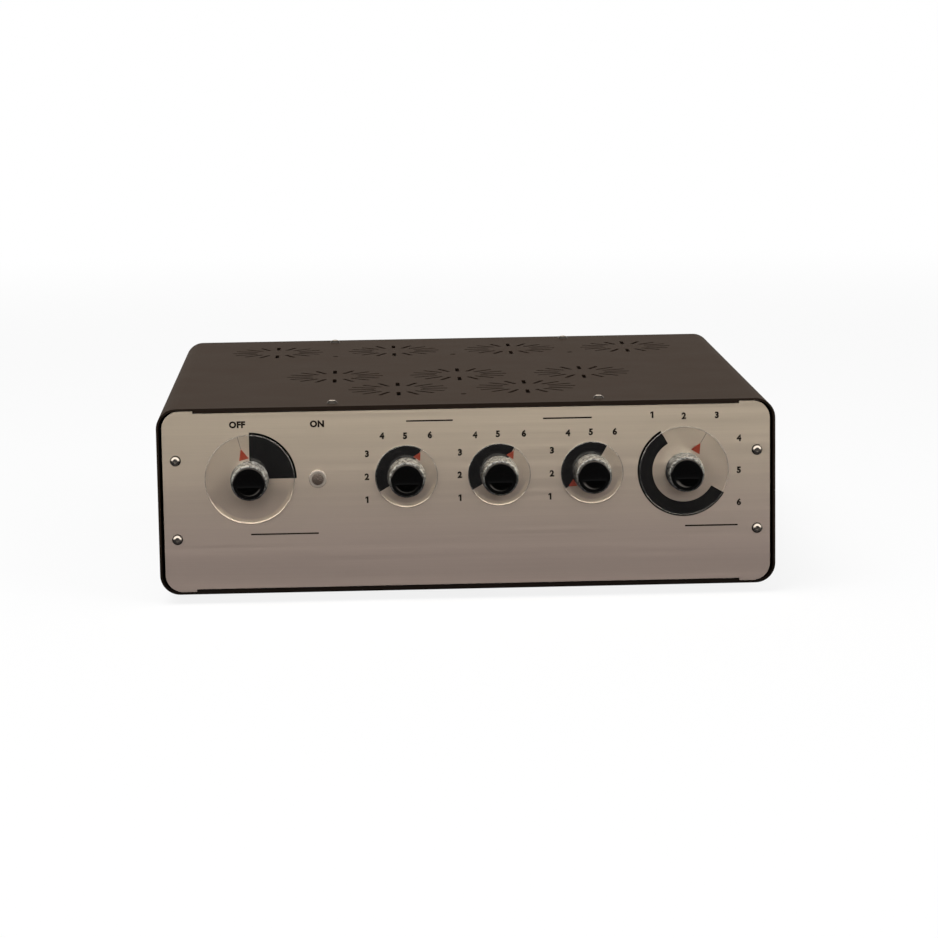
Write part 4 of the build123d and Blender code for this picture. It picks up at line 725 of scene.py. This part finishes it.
def knurled_band(axis, front, back, radii, pitch, height):
    """Band round a grip: a long section, spun round the axis, with every second point raised.

    The radii are the grip's own, at the band's front and back, and the points stand by a height.
    """
    slope = atan2(radii[1] - radii[0], back - front)
    middle = sum(radii) / 2 - BAND_WALL / 2 + BAND_LIFT
    rows = 2 * round((back - front) / pitch)
    columns = 2 * round(2 * pi * middle / pitch)
    place = Vector((axis.x + middle, (front + back) / 2, axis.z))
    piece = plane(BAND_WALL, back - front, place, (0, 0, -slope))

    def lean(point):
        """How far the band's middle has leant out at a point."""
        return (point.y - place.y) * sin(slope)

    def raised(point):
        """Whether a point of the outer side is one of every second ones."""
        row = (point.y - front) / (back - front) * rows
        column = atan2(point.x - axis.x, point.z - axis.z) / (2 * pi) * columns
        outer = sqrt((point.x - axis.x) ** 2 + (point.z - axis.z) ** 2) > middle + lean(point)
        return outer and 0.5 < row < rows - 0.5 and (round(row) + round(column)) % 2 == 0

    half = BAND_WALL / 2
    pick(piece, lambda point: abs(point.x - place.x - lean(point) - half) < half / 2)
    bpy.ops.mesh.subdivide(number_cuts=rows - 1)
    bpy.ops.mesh.select_all(action="SELECT")
    bpy.ops.mesh.delete(type="ONLY_FACE")
    bpy.ops.mesh.select_all(action="SELECT")
    bpy.ops.mesh.spin(
        steps=columns, angle=2 * pi, center=axis, axis=(0, 1, 0), use_auto_merge=True
    )
    close_up(piece)
    pick(piece, raised, "VERT")
    share = 1 + height / middle
    bpy.ops.transform.resize(value=(share, 1, share), center_override=axis)
    leave_edit()
    return piece


def figure_one(height, stem):
    """A flat 1: an upright bar, from whose upper left a flag is drawn out and down."""
    piece = plane(stem, height)
    edit_all(piece)
    bpy.ops.mesh.bisect(plane_co=(0, 0.26 * height, 0), plane_no=(0, 1, 0))
    pick(piece, lambda point: point.x < 0 and point.y > 0.2 * height)
    flag = (-0.2 * height, -0.15 * height, 0)
    bpy.ops.mesh.extrude_region_move(TRANSFORM_OT_translate={"value": flag})
    leave_edit()
    return piece


def lettering(text, height, middle, sizes, rear=False):
    """Bold letters on a panel: a flat mesh, merged and thickened towards the viewer."""
    start_piece()
    weight = sizes.letter_weight
    share = FIGURE_HEIGHT + 2 * weight
    if text == "1":
        piece = figure_one(height, height * (FIGURE_STEM + 2 * weight) / share)
    else:
        bpy.ops.object.text_add()
        piece = bpy.context.object
        piece.data.body = text
        piece.data.size = height / share
        piece.data.offset = weight * piece.data.size
        piece.data.space_character = LETTER_SPACING
        piece.data.resolution_u = 3
        bpy.ops.object.convert(target="MESH")
        piece = bpy.context.object
    corners = [Vector(corner) for corner in piece.bound_box]
    piece.data.transform(Matrix.Translation(-(corners[0] + corners[6]) / 2))
    piece.rotation_euler = (pi / 2, 0, pi if rear else 0)
    piece.location = middle
    settle(piece)
    edit_all(piece)
    bpy.ops.mesh.remove_doubles(threshold=height / 400)
    leave_edit()
    solid = piece.modifiers.new("thickness", "SOLIDIFY")
    solid.thickness = sizes.ink
    solid.offset = 1.0
    bpy.ops.object.modifier_apply(modifier=solid.name)
    return close_up(piece)


def numbers(places, name, ink, sizes, rear=False):
    """Numbers from 1 up at their places on a panel, as one piece."""
    height = sizes.number_height
    figures = [
        lettering(str(count), height, place, sizes, rear) for count, place in enumerate(places, 1)
    ]
    finish_piece(figures, name, ink, "case")


def flat_strip(width, height, middle, ink, corner):
    """A printed line: an upright plane with its corners rounded, drawn out to the front."""
    return printed(plane(width, height, middle, (pi / 2, 0, 0)), ink, corner, 3)


def printed_arc(centre, inner, outer, start, sweep, ink):
    """A printed arc: the cross-section of the ink, spun clockwise about a knob's axis."""
    turn = radians(start - 90)
    outwards = Matrix.Rotation(turn, 3, "Y") @ Vector((1, 0, 0))
    middle = centre + outwards * (inner + outer) / 2
    middle.y = PANEL_FACE - ink / 2
    piece = plane(outer - inner, ink, middle, (0, turn, 0))
    edit_all(piece)
    steps = max(12, round(sweep / ARC_STEP))
    bpy.ops.mesh.spin(steps=steps, angle=radians(sweep), center=centre, axis=(0, -1, 0))
    return close_up(piece)


def pointer(knob, sizes):
    """A triangle and its hairline behind a dial, turned to where the knob points."""
    axis = AXIS[knob]
    angle, *lengths = POINTERS[knob]
    base, length, width = (value / 1000 for value in lengths)
    back = DIAL_BACK + FILM_GAP + sizes.ink
    centroid = Vector((axis.x, back, axis.z + base + length / 3))
    triangle = disc(3, centroid, width / sqrt(3), length / 1.5)
    pieces = [printed(triangle, sizes.ink, POINTER_CORNER, 2)]
    tip, end = base + length, DIAL_RADIUS[knob] - HAIRLINE_INSET
    if end - tip > SHORTEST_HAIRLINE:
        middle = Vector((axis.x, back, axis.z + (tip + end) / 2))
        line = flat_strip(sizes.hairline, end - tip, middle, sizes.ink, sizes.hairline / 4)
        pieces.append(line)
    there = Matrix.Translation(axis)
    clockwise = there @ Matrix.Rotation(radians(angle), 4, "Y") @ there.inverted()
    for piece in pieces:
        piece.data.transform(clockwise)
    return pieces


def panel_point(knob, right, up):
    """A point of the panel's face, in millimetres from a knob's axis."""
    return Vector((AXIS[knob].x + right / 1000, PANEL_FACE, AXIS[knob].z + up / 1000))


# ---- operators
class PreampOperator(bpy.types.Operator):
    """What the operators share"""

    bl_options = {"REGISTER", "UNDO"}

    @property
    def sizes(self):
        return bpy.context.scene.preamp_sizes

    @property
    def colours(self):
        return bpy.context.scene.preamp_colours


class PREAMP_OT_panel_numbers(PreampOperator):
    """Print the numbers round the knobs"""

    bl_idname = "preamp.panel_numbers"
    bl_label = "Panel numbers"

    def execute(self, context):
        ink = ink_print("panel_ink", self.colours.ink)
        for knob, places in NUMBERS.items():
            points = [panel_point(knob, *place) for place in places]
            numbers(points, f"{knob}_numbers", ink, self.sizes)
        return {"FINISHED"}


class PREAMP_OT_power_words(PreampOperator):
    """Print OFF and ON over the power switch"""

    bl_idname = "preamp.power_words"
    bl_label = "Power words"

    def execute(self, context):
        ink = ink_print("word_ink", self.colours.ink)
        for word, right, up in POWER_WORDS:
            place = panel_point("power", right, up)
            letters = lettering(word, self.sizes.word_height, place, self.sizes)
            finish_piece([letters], f"power_{word.lower()}", ink, "case")
        return {"FINISHED"}


class PREAMP_OT_panel_rules(PreampOperator):
    """Print the four rules of the panel"""

    bl_idname = "preamp.panel_rules"
    bl_label = "Panel rules"

    def execute(self, context):
        ink = ink_print("rule_ink", self.colours.ink)
        sizes = self.sizes
        for knob, left, right, up in RULES:
            middle = panel_point(knob, (left + right) / 2, up)
            length = (right - left) / 1000
            strip = flat_strip(length, sizes.rule, middle, sizes.ink, sizes.rule / 3)
            finish_piece([strip], f"{knob}_rule", ink, "case")
        return {"FINISHED"}


class PREAMP_OT_dial_scales(PreampOperator):
    """Print the black arcs that the pointers run over"""

    bl_idname = "preamp.dial_scales"
    bl_label = "Dial scales"

    def execute(self, context):
        sizes = self.sizes
        black = ink_print("scale_ink", self.colours.scale, 0.42)
        radii = {
            "power": (sizes.power_arc_inner, sizes.power_arc_outer),
            "source": (sizes.source_arc_inner, sizes.source_arc_outer),
        }
        small = (sizes.small_arc_inner, sizes.small_arc_outer)
        for knob, (start, sweep) in ARCS.items():
            arc = printed_arc(AXIS[knob], *radii.get(knob, small), start, sweep, sizes.ink)
            finish_piece([arc], f"{knob}_scale", black, "case")
        return {"FINISHED"}


class PREAMP_OT_pointers(PreampOperator):
    """Put a red pointer and its hairline behind each clear dial"""

    bl_idname = "preamp.pointers"
    bl_label = "Pointers"

    def execute(self, context):
        shader = new_finish("pointer_film")
        film = shader.noise(700)
        red = shader.surface(
            Base_Color=shader.mottled(film, self.colours.pointer, 0.85, 1.15),
            Roughness=0.3 + 0.1 * film,
            IOR=1.2,
            Specular_IOR_Level=0.1,
            Transmission_Weight=0.45,
        )
        dark = ink_print("hairline_ink", self.colours.ink)
        for knob in KNOBS:
            triangle, *line = pointer(knob, self.sizes)
            finish_piece([triangle], f"{knob}_pointer", red, f"{knob}_knob")
            if line:
                finish_piece(line, f"{knob}_hairline", dark, f"{knob}_knob")
        return {"FINISHED"}


class PREAMP_OT_knurled_bands(PreampOperator):
    """Put a knurled band round each knob's grip and round the earth nut"""

    bl_idname = "preamp.knurled_bands"
    bl_label = "Knurled bands"

    def execute(self, context):
        satin = satin_aluminium("knurl_aluminium", self.colours.grip)
        sizes = self.sizes
        radii = (sizes.grip_tip_radius, GRIP_RADIUS)
        ends = (GRIP_FRONT + sizes.grip_edge, GRIP_BACK - sizes.grip_edge)
        pitch, height = sizes.knurl_pitch, sizes.knurl_height
        first = knurled_band(AXIS[KNOBS[0]], *ends, radii, pitch, height)
        for knob, band in one_per_knob(first):
            finish_piece([band], f"{knob}_knurl", satin, f"{knob}_knob")
        low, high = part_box("ground_nut")
        middle = middle_of("ground_nut")
        middle.y = 0
        radii = 2 * (radius_of("ground_nut"),)
        ends = (low.y + sizes.nut_edge, high.y - sizes.nut_edge)
        band = knurled_band(middle, *ends, radii, NUT_KNURL * pitch, NUT_KNURL * height)
        gilt = turned_metal("gilt_knurl", self.colours.gilt, 0.24)
        finish_piece([band], "earth_nut_knurl", gilt, "earth_nut")
        return {"FINISHED"}


class PREAMP_OT_caps(PreampOperator):
    """Turn the dished black cap of each knob"""

    bl_idname = "preamp.caps"
    bl_label = "Caps"

    def execute(self, context):
        black = moulding("cap_gloss", self.colours.cap, 0.05, 300, 2e-6, 0.2)
        back = Vector((AXIS[KNOBS[0]].x, CAP_BACK, AXIS[KNOBS[0]].z))
        first = turned(cap_profile(self.sizes), back)
        bpy.ops.object.shade_smooth_by_angle(angle=radians(25))
        for knob, piece in one_per_knob(first):
            cap = finish_piece([piece], f"{knob}_cap", black, f"{knob}_knob")
            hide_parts(f"{knob}_knob_cap")
        return {"FINISHED"}


class PREAMP_OT_rear_numbers(PreampOperator):
    """Print the inputs' numbers on the rear panel"""

    bl_idname = "preamp.rear_numbers"
    bl_label = "Rear numbers"

    def execute(self, context):
        ink = ink_print("rear_ink", self.colours.rear_ink)
        height = CASE_BOTTOM + INPUT_NUMBER_HEIGHT / 1000
        points = [Vector((column / 1000, REAR_FACE, height)) for column in INPUT_COLUMNS]
        numbers(points, "rear_numbers", ink, self.sizes, rear=True)
        return {"FINISHED"}


class PREAMP_OT_case_finish(PreampOperator):
    """Finish the panels, covers, side frames, feet and screws"""

    bl_idname = "preamp.case_finish"
    bl_label = "Case finish"

    def execute(self, context):
        tones = self.colours
        # the panel's top colour and its darker bottom colour of painted shade, and the knobs whose
        # dials get painted light beneath them
        shades, dials_with_painted_light = (tones.panel, tones.panel_low), KNOBS[:-1]
        bare = dyed(tones.panel, 1.2)
        finish_each(
            (brushed_aluminium, "brushed_panel", "front_panel", *shades, 0.36, dials_with_painted_light),
            (brushed_aluminium, "bar_aluminium", "cross_bars", bare, bare, 0.3),
            (textured_paint, "rear_paint", "rear_panel", tones.rear, 0.5, 0.3),
            (textured_paint, "cover_paint", "top_cover", tones.cover),
            # painted shade at the foot of the bottom cover, darker by a share of 0.3
            (textured_paint, "base_paint", "bottom_cover", tones.cover, 0.66, 0.045, 0.3),
            (textured_paint, "side_paint", "left_frame right_frame", tones.side),
            (plated_metal, "deck_zinc", "chassis_deck", (0.50, 0.49, 0.45), 0.38, 45),
            (plated_metal, "screw_plating", "chassis_screws bottom_screws", tones.screw, 0.2, 300),
            (moulding, "foot_rubber", "feet", tones.rubber, 0.75, 700, 5e-5, 0.3),
        )
        # name of the finish, node, axis along which the heads are mirrored, brightness of the
        # painted highlight in the middle, and the shares of the radius between which painted shade
        # darkens the rim
        for name, node, along, bright, rim in (
            ("panel_screw_plating", "panel_screws", 2, 1.5, (0.68, 0.88)),
            ("cover_screw_plating", "top_cover_screws", 1, 5.0, (0.50, 0.68)),
        ):
            finish_nodes(rimmed_heads(name, tones.screw, node, along, bright, rim), node)
        return {"FINISHED"}


class PREAMP_OT_control_finish(PreampOperator):
    """Finish the knobs, dials, shafts and switches"""

    bl_idname = "preamp.control_finish"
    bl_label = "Control finish"

    def execute(self, context):
        tones = self.colours
        cap = moulding("cap_plastic", tones.cap, 0.12, 300, 4e-6, 0.5)
        grip = satin_aluminium("grip_aluminium", tones.grip)
        shaft = turned_metal("shaft_steel", (0.56, 0.55, 0.53), 0.28)
        for knob in KNOBS:
            finish_nodes(grip, f"{knob}_knob_grip")
            finish_nodes(cap, f"{knob}_knob_cap")
            finish_nodes(clear_plastic(knob, tones.clear), f"{knob}_knob_dial")
            finish_nodes(shaft, f"{knob}_knob_shaft")
        zinc = plated_metal("switch_zinc", (0.58, 0.56, 0.52), 0.32, 140)
        finish_nodes(zinc, "switch_frames", "switch_nuts")
        wafer = new_finish("wafer_laminate")
        fibres = wafer.noise((420, 90, 420), 3.0)
        wafer.surface(
            Base_Color=wafer.blend(fibres, (0.17, 0.085, 0.035), (0.29, 0.16, 0.07)),
            Roughness=0.42 + 0.1 * fibres,
            Normal=wafer.bump(fibres, 2e-5, 0.4),
        )
        finish_nodes(wafer.holder, "switch_wafers")
        finish_nodes(moulding("switch_moulding", (0.015, 0.015, 0.016), 0.5), "mains_switch")
        return {"FINISHED"}


class PREAMP_OT_lamp_finish(PreampOperator):
    """Put the faceted lens on the pilot lamp, and finish the lamp and its clear collar"""

    bl_idname = "preamp.lamp_finish"
    bl_label = "Lamp"

    def execute(self, context):
        collar = new_finish("clear_collar")
        haze = collar.noise(300, 3.0)
        collar.surface(
            Base_Color=collar.blend(haze, (0.31, 0.265, 0.222), (0.40, 0.345, 0.290)),
            Roughness=0.16 + 0.12 * haze,
            Transmission_Weight=0.25,
        )
        finish_nodes(collar.holder, "lamp_collar")
        lens = new_finish("lamp_lens")
        cells = lens.cells(1300)
        lens.surface(
            Base_Color=lens.mottled(cells, self.colours.lens, 0.7, 1.8),
            Roughness=0.16 + 0.14 * cells,
            Specular_IOR_Level=0.3,
            Normal=lens.bump(cells, 0.0001, 0.6),
        )
        finish_nodes(lens.holder, "pilot_lamp")
        middle = middle_of("lamp_collar")
        middle.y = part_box("lamp_collar")[0].y
        facets = faceted_lens(middle, self.sizes)
        finish_piece([facets], "lamp_facets", lens.holder, "case")
        return {"FINISHED"}


class PREAMP_OT_socket_finish(PreampOperator):
    """Finish the rear's sockets, mains inlet, fuse drawer and earth terminal"""

    bl_idname = "preamp.socket_finish"
    bl_label = "Socket finish"

    def execute(self, context):
        gilded = "socket_shells socket_contacts ground_post ground_washer ground_nut"
        finish_each(
            (turned_metal, "gilt_brass", gilded, self.colours.gilt, 0.24),
            (moulding, "white_insulator", "socket_insulators", (0.66, 0.64, 0.58), 0.4, 900, 2e-5),
            (moulding, "inlet_moulding", "mains_inlet fuse_drawer", (0.018, 0.018, 0.018), 0.42),
            (plated_metal, "pin_nickel", "inlet_pins", (0.66, 0.63, 0.57), 0.22, 220),
        )
        return {"FINISHED"}


class PREAMP_OT_inside_finish(PreampOperator):
    """Finish the transformer, boards, valves and looms inside the case"""

    bl_idname = "preamp.inside_finish"
    bl_label = "Inside finish"

    def transformer(self):
        core = new_finish("core_laminations")
        sheet = core.split(core.place())[1] / LAMINATION
        seam = abs(sheet.fraction() - 0.5).between(0.0, 0.2)
        core.surface(
            Base_Color=core.mottled(seam, self.colours.core, 0.35, 1.4),
            Metallic=0.6,
            Roughness=0.35 + 0.2 * core.noise(90, 4.0),
            Normal=core.bump(seam, 8e-5, 0.5),
        )
        finish_nodes(core.holder, "transformer_core")
        tape = new_finish("coil_tape")
        wrap = tape.split(tape.place())[2] / TAPE_WIDTH
        wraps = wrap.fraction().between(0.0, 0.08)
        threads = tape.noise((1400, 1400, 200))
        tape.surface(
            Base_Color=tape.blend(
                0.6 * wraps + 0.4 * threads, (0.34, 0.25, 0.09), (0.60, 0.50, 0.22)
            ),
            Roughness=0.35 + 0.15 * threads,
            Normal=tape.bump(wraps + 0.2 * threads, 0.00012, 0.5),
        )
        finish_nodes(tape.holder, "transformer_coil")

    def boards(self):
        board = new_finish("board_laminate")
        tracks = board.cells(140, "DISTANCE_TO_EDGE") < 0.08
        weave = board.noise(1100)
        board.surface(
            Base_Color=board.mottled(tracks, self.colours.laminate, 0.8, 1.9),
            Roughness=0.38 + 0.12 * weave,
            Normal=board.bump(tracks + 0.2 * weave, 4e-5, 0.5),
        )
        finish_nodes(board.holder, "circuit_boards")

    def valves(self):
        glass = new_finish("valve_glass")
        up = glass.split(glass.place())[2]
        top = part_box("valve_glass")[1].z
        smoke = glass.noise(120, 3.0)
        getter = (up + 0.003 * smoke).between(*(top - depth for depth in GETTER))
        clear = clear_glass(glass, (0.97, 0.98, 0.98), 0.02 + 0.03 * smoke)
        silver = glass.principled(
            Base_Color=glass.blend(smoke, (0.25, 0.24, 0.23), (0.62, 0.62, 0.63)),
            Metallic=1.0,
            Roughness=0.15,
        )
        finish_nodes(glass.mixture(getter, clear, silver), "valve_glass")

    def fuses(self):
        fuse = new_finish("fuse_glass")
        along = fuse.split(fuse.place(origin=middle_of("fuses")))[1]
        low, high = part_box("fuses")
        half = (high.y - low.y) / 2
        ends = abs(along).between(*(half - inset for inset in FERRULE))
        scuff = fuse.noise(500, 3.0)
        tube = clear_glass(fuse, (0.95, 0.97, 0.97), 0.03 + 0.05 * scuff)
        ferrule = fuse.principled(
            Base_Color=fuse.blend(scuff, (0.50, 0.48, 0.44), (0.72, 0.70, 0.66)),
            Metallic=1.0,
            Roughness=0.2,
        )
        finish_nodes(fuse.mixture(ends, tube, ferrule), "fuses")

    def execute(self, context):
        self.transformer()
        self.boards()
        self.valves()
        self.fuses()
        sleeve = self.colours.sleeve
        finish_each(
            (moulding, "capacitor_sleeve", "filter_capacitors", sleeve, 0.3, 500, 2e-5),
            (moulding, "capacitor_case", "coupling_capacitors", (0.42, 0.09, 0.05), 0.3, 400, 2e-5),
            (moulding, "socket_ceramic", "valve_sockets", (0.62, 0.60, 0.54), 0.3, 500, 2e-5, 0.5),
            (moulding, "mains_sheath", "mains_loom", (0.10, 0.045, 0.022), 0.4, 600, 3e-5),
            (moulding, "signal_sheath", "signal_loom", (0.13, 0.13, 0.13), 0.45, 600, 3e-5),
            (plated_metal, "strap_steel", "transformer_strap", (0.45, 0.44, 0.41), 0.35, 80),
            (plated_metal, "electrode_metal", "valve_electrodes", (0.11, 0.11, 0.115), 0.45, 160),
        )
        return {"FINISHED"}


class PREAMP_OT_stage(PreampOperator):
    """Set up the studio: floor, world, lamps and camera"""

    bl_idname = "preamp.stage"
    bl_label = "Stage"

    def floor(self):
        side = self.sizes.floor_reach
        floor = plane(side, side, (0, 0, CAD_BOX[0][2] - FLOOR_DROP))
        floor.name = "studio_floor"
        edit_all(floor)
        bpy.ops.mesh.subdivide(number_cuts=3)
        leave_edit()
        shader = new_finish("studio_floor")
        camera, glossy, through = shader.rays()
        across, depth, _ = shader.split(shader.place())
        far = (across * across + depth * depth).between(0.5, 8.0)
        # how pale the floor looks in gloss, before the case and behind it
        bright = 0.35 * (0 - depth).between(0.3, 4.0) + 0.8 * depth.between(0.2, 0.36)
        lit = shader.principled(
            Base_Color=shader.mottled(shader.noise(6), self.colours.floor, 0.99, 1.0),
            Roughness=0.9,
            Specular_IOR_Level=0.0,
        )
        level = shader.blend(camera + (1 - camera) * bright, (0.045, 0.038, 0.039), (1, 1, 1))
        white = shader.add("ShaderNodeEmission", inputs={"Color": level, "Strength": 1.0})
        share = (0.86 + 0.14 * far) * camera + 0.92 * glossy + 0.3 * through
        floor.data.materials.append(shader.mixture(share, lit, white))

    def world(self):
        world = bpy.data.worlds.new("studio")
        bpy.context.scene.world = world
        shader = Shader(world)
        camera, glossy, through = shader.rays()
        across, depth, up = shader.split(shader.add("ShaderNodeTexCoord", output="Generated"))
        # in gloss, a dark room ahead with a bright surround, and a pale one behind
        height = up + 0.15
        reach = (across * across + height * height).root()
        ahead = 0.015 + 5.2 * (reach.between(0.43, 0.49) * up.between(0.0, 0.15))
        backdrop = ahead + (1 - ahead) * depth.between(-0.25, 0.45)
        others = 1.4 * through + 0.32 * (1 - through)
        seen = camera + (1 - camera) * (glossy * backdrop + (1 - glossy) * others)
        warmth = shader.blend(glossy, (1, 1, 1), (1.0, 0.90, 0.80))
        light = shader.add("ShaderNodeBackground", inputs={"Color": warmth, "Strength": seen})
        shader.end(light, "ShaderNodeOutputWorld")

    def lamp(self, name, place, power, side):
        start_piece()
        bpy.ops.object.light_add(type="AREA", location=place)
        lamp = bpy.context.object
        lamp.name = name
        lamp.data.size = side
        lamp.data.energy = power
        lamp.visible_glossy = False
        lamp.rotation_euler = (Vector(LAMP_AIM) - Vector(place)).to_track_quat("-Z", "Y").to_euler()

    def camera(self):
        start_piece()
        bpy.ops.object.camera_add(location=CAMERA_PLACE)
        camera = bpy.context.object
        camera.name = "studio_camera"
        camera.rotation_euler = Euler([radians(angle) for angle in CAMERA_TURN], "XYZ")
        camera.data.sensor_width = 36
        camera.data.lens = CAMERA_LENS
        camera.data.shift_x, camera.data.shift_y = CAMERA_SHIFT
        camera.data.clip_end = 500
        bpy.context.scene.camera = camera

    def execute(self, context):
        self.floor()
        self.world()
        for lamp in LAMPS:
            self.lamp(*lamp)
        self.camera()
        context.scene.view_settings.view_transform = "Standard"
        return {"FINISHED"}


OPERATORS = (
    PREAMP_OT_panel_numbers,
    PREAMP_OT_power_words,
    PREAMP_OT_panel_rules,
    PREAMP_OT_dial_scales,
    PREAMP_OT_pointers,
    PREAMP_OT_knurled_bands,
    PREAMP_OT_caps,
    PREAMP_OT_rear_numbers,
    PREAMP_OT_case_finish,
    PREAMP_OT_control_finish,
    PREAMP_OT_lamp_finish,
    PREAMP_OT_socket_finish,
    PREAMP_OT_inside_finish,
    PREAMP_OT_stage,
)


class PREAMP_PT_panel(bpy.types.Panel):
    """Lists the preamp's operators, sizes and colours"""

    bl_idname = "PREAMP_PT_panel"
    bl_label = "Phono preamp"
    bl_space_type = "VIEW_3D"
    bl_region_type = "UI"
    bl_category = "Preamp"

    def draw(self, context):
        for operator in OPERATORS:
            self.layout.operator(operator.bl_idname)
        for group in (context.scene.preamp_sizes, context.scene.preamp_colours):
            box = self.layout.box()
            for name in group.__annotations__:
                box.prop(group, name)


CLASSES = (PreampSizes, PreampColours, *OPERATORS, PREAMP_PT_panel)


def register():
    for item in CLASSES:
        bpy.utils.register_class(item)
    bpy.types.Scene.preamp_sizes = PointerProperty(type=PreampSizes)
    bpy.types.Scene.preamp_colours = PointerProperty(type=PreampColours)


def unregister():
    del bpy.types.Scene.preamp_sizes
    del bpy.types.Scene.preamp_colours
    for item in reversed(CLASSES):
        bpy.utils.unregister_class(item)


def main():
    """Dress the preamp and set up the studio."""
    register()
    for operator in OPERATORS:
        getattr(bpy.ops.preamp, operator.bl_idname.split(".")[1])()
    bare = [name for name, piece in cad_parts.items() if len(piece.data.materials) != 1]
    if bare:
        raise RuntimeError(f"no finish on {bare}")


if __name__ == "__main__":
    main()
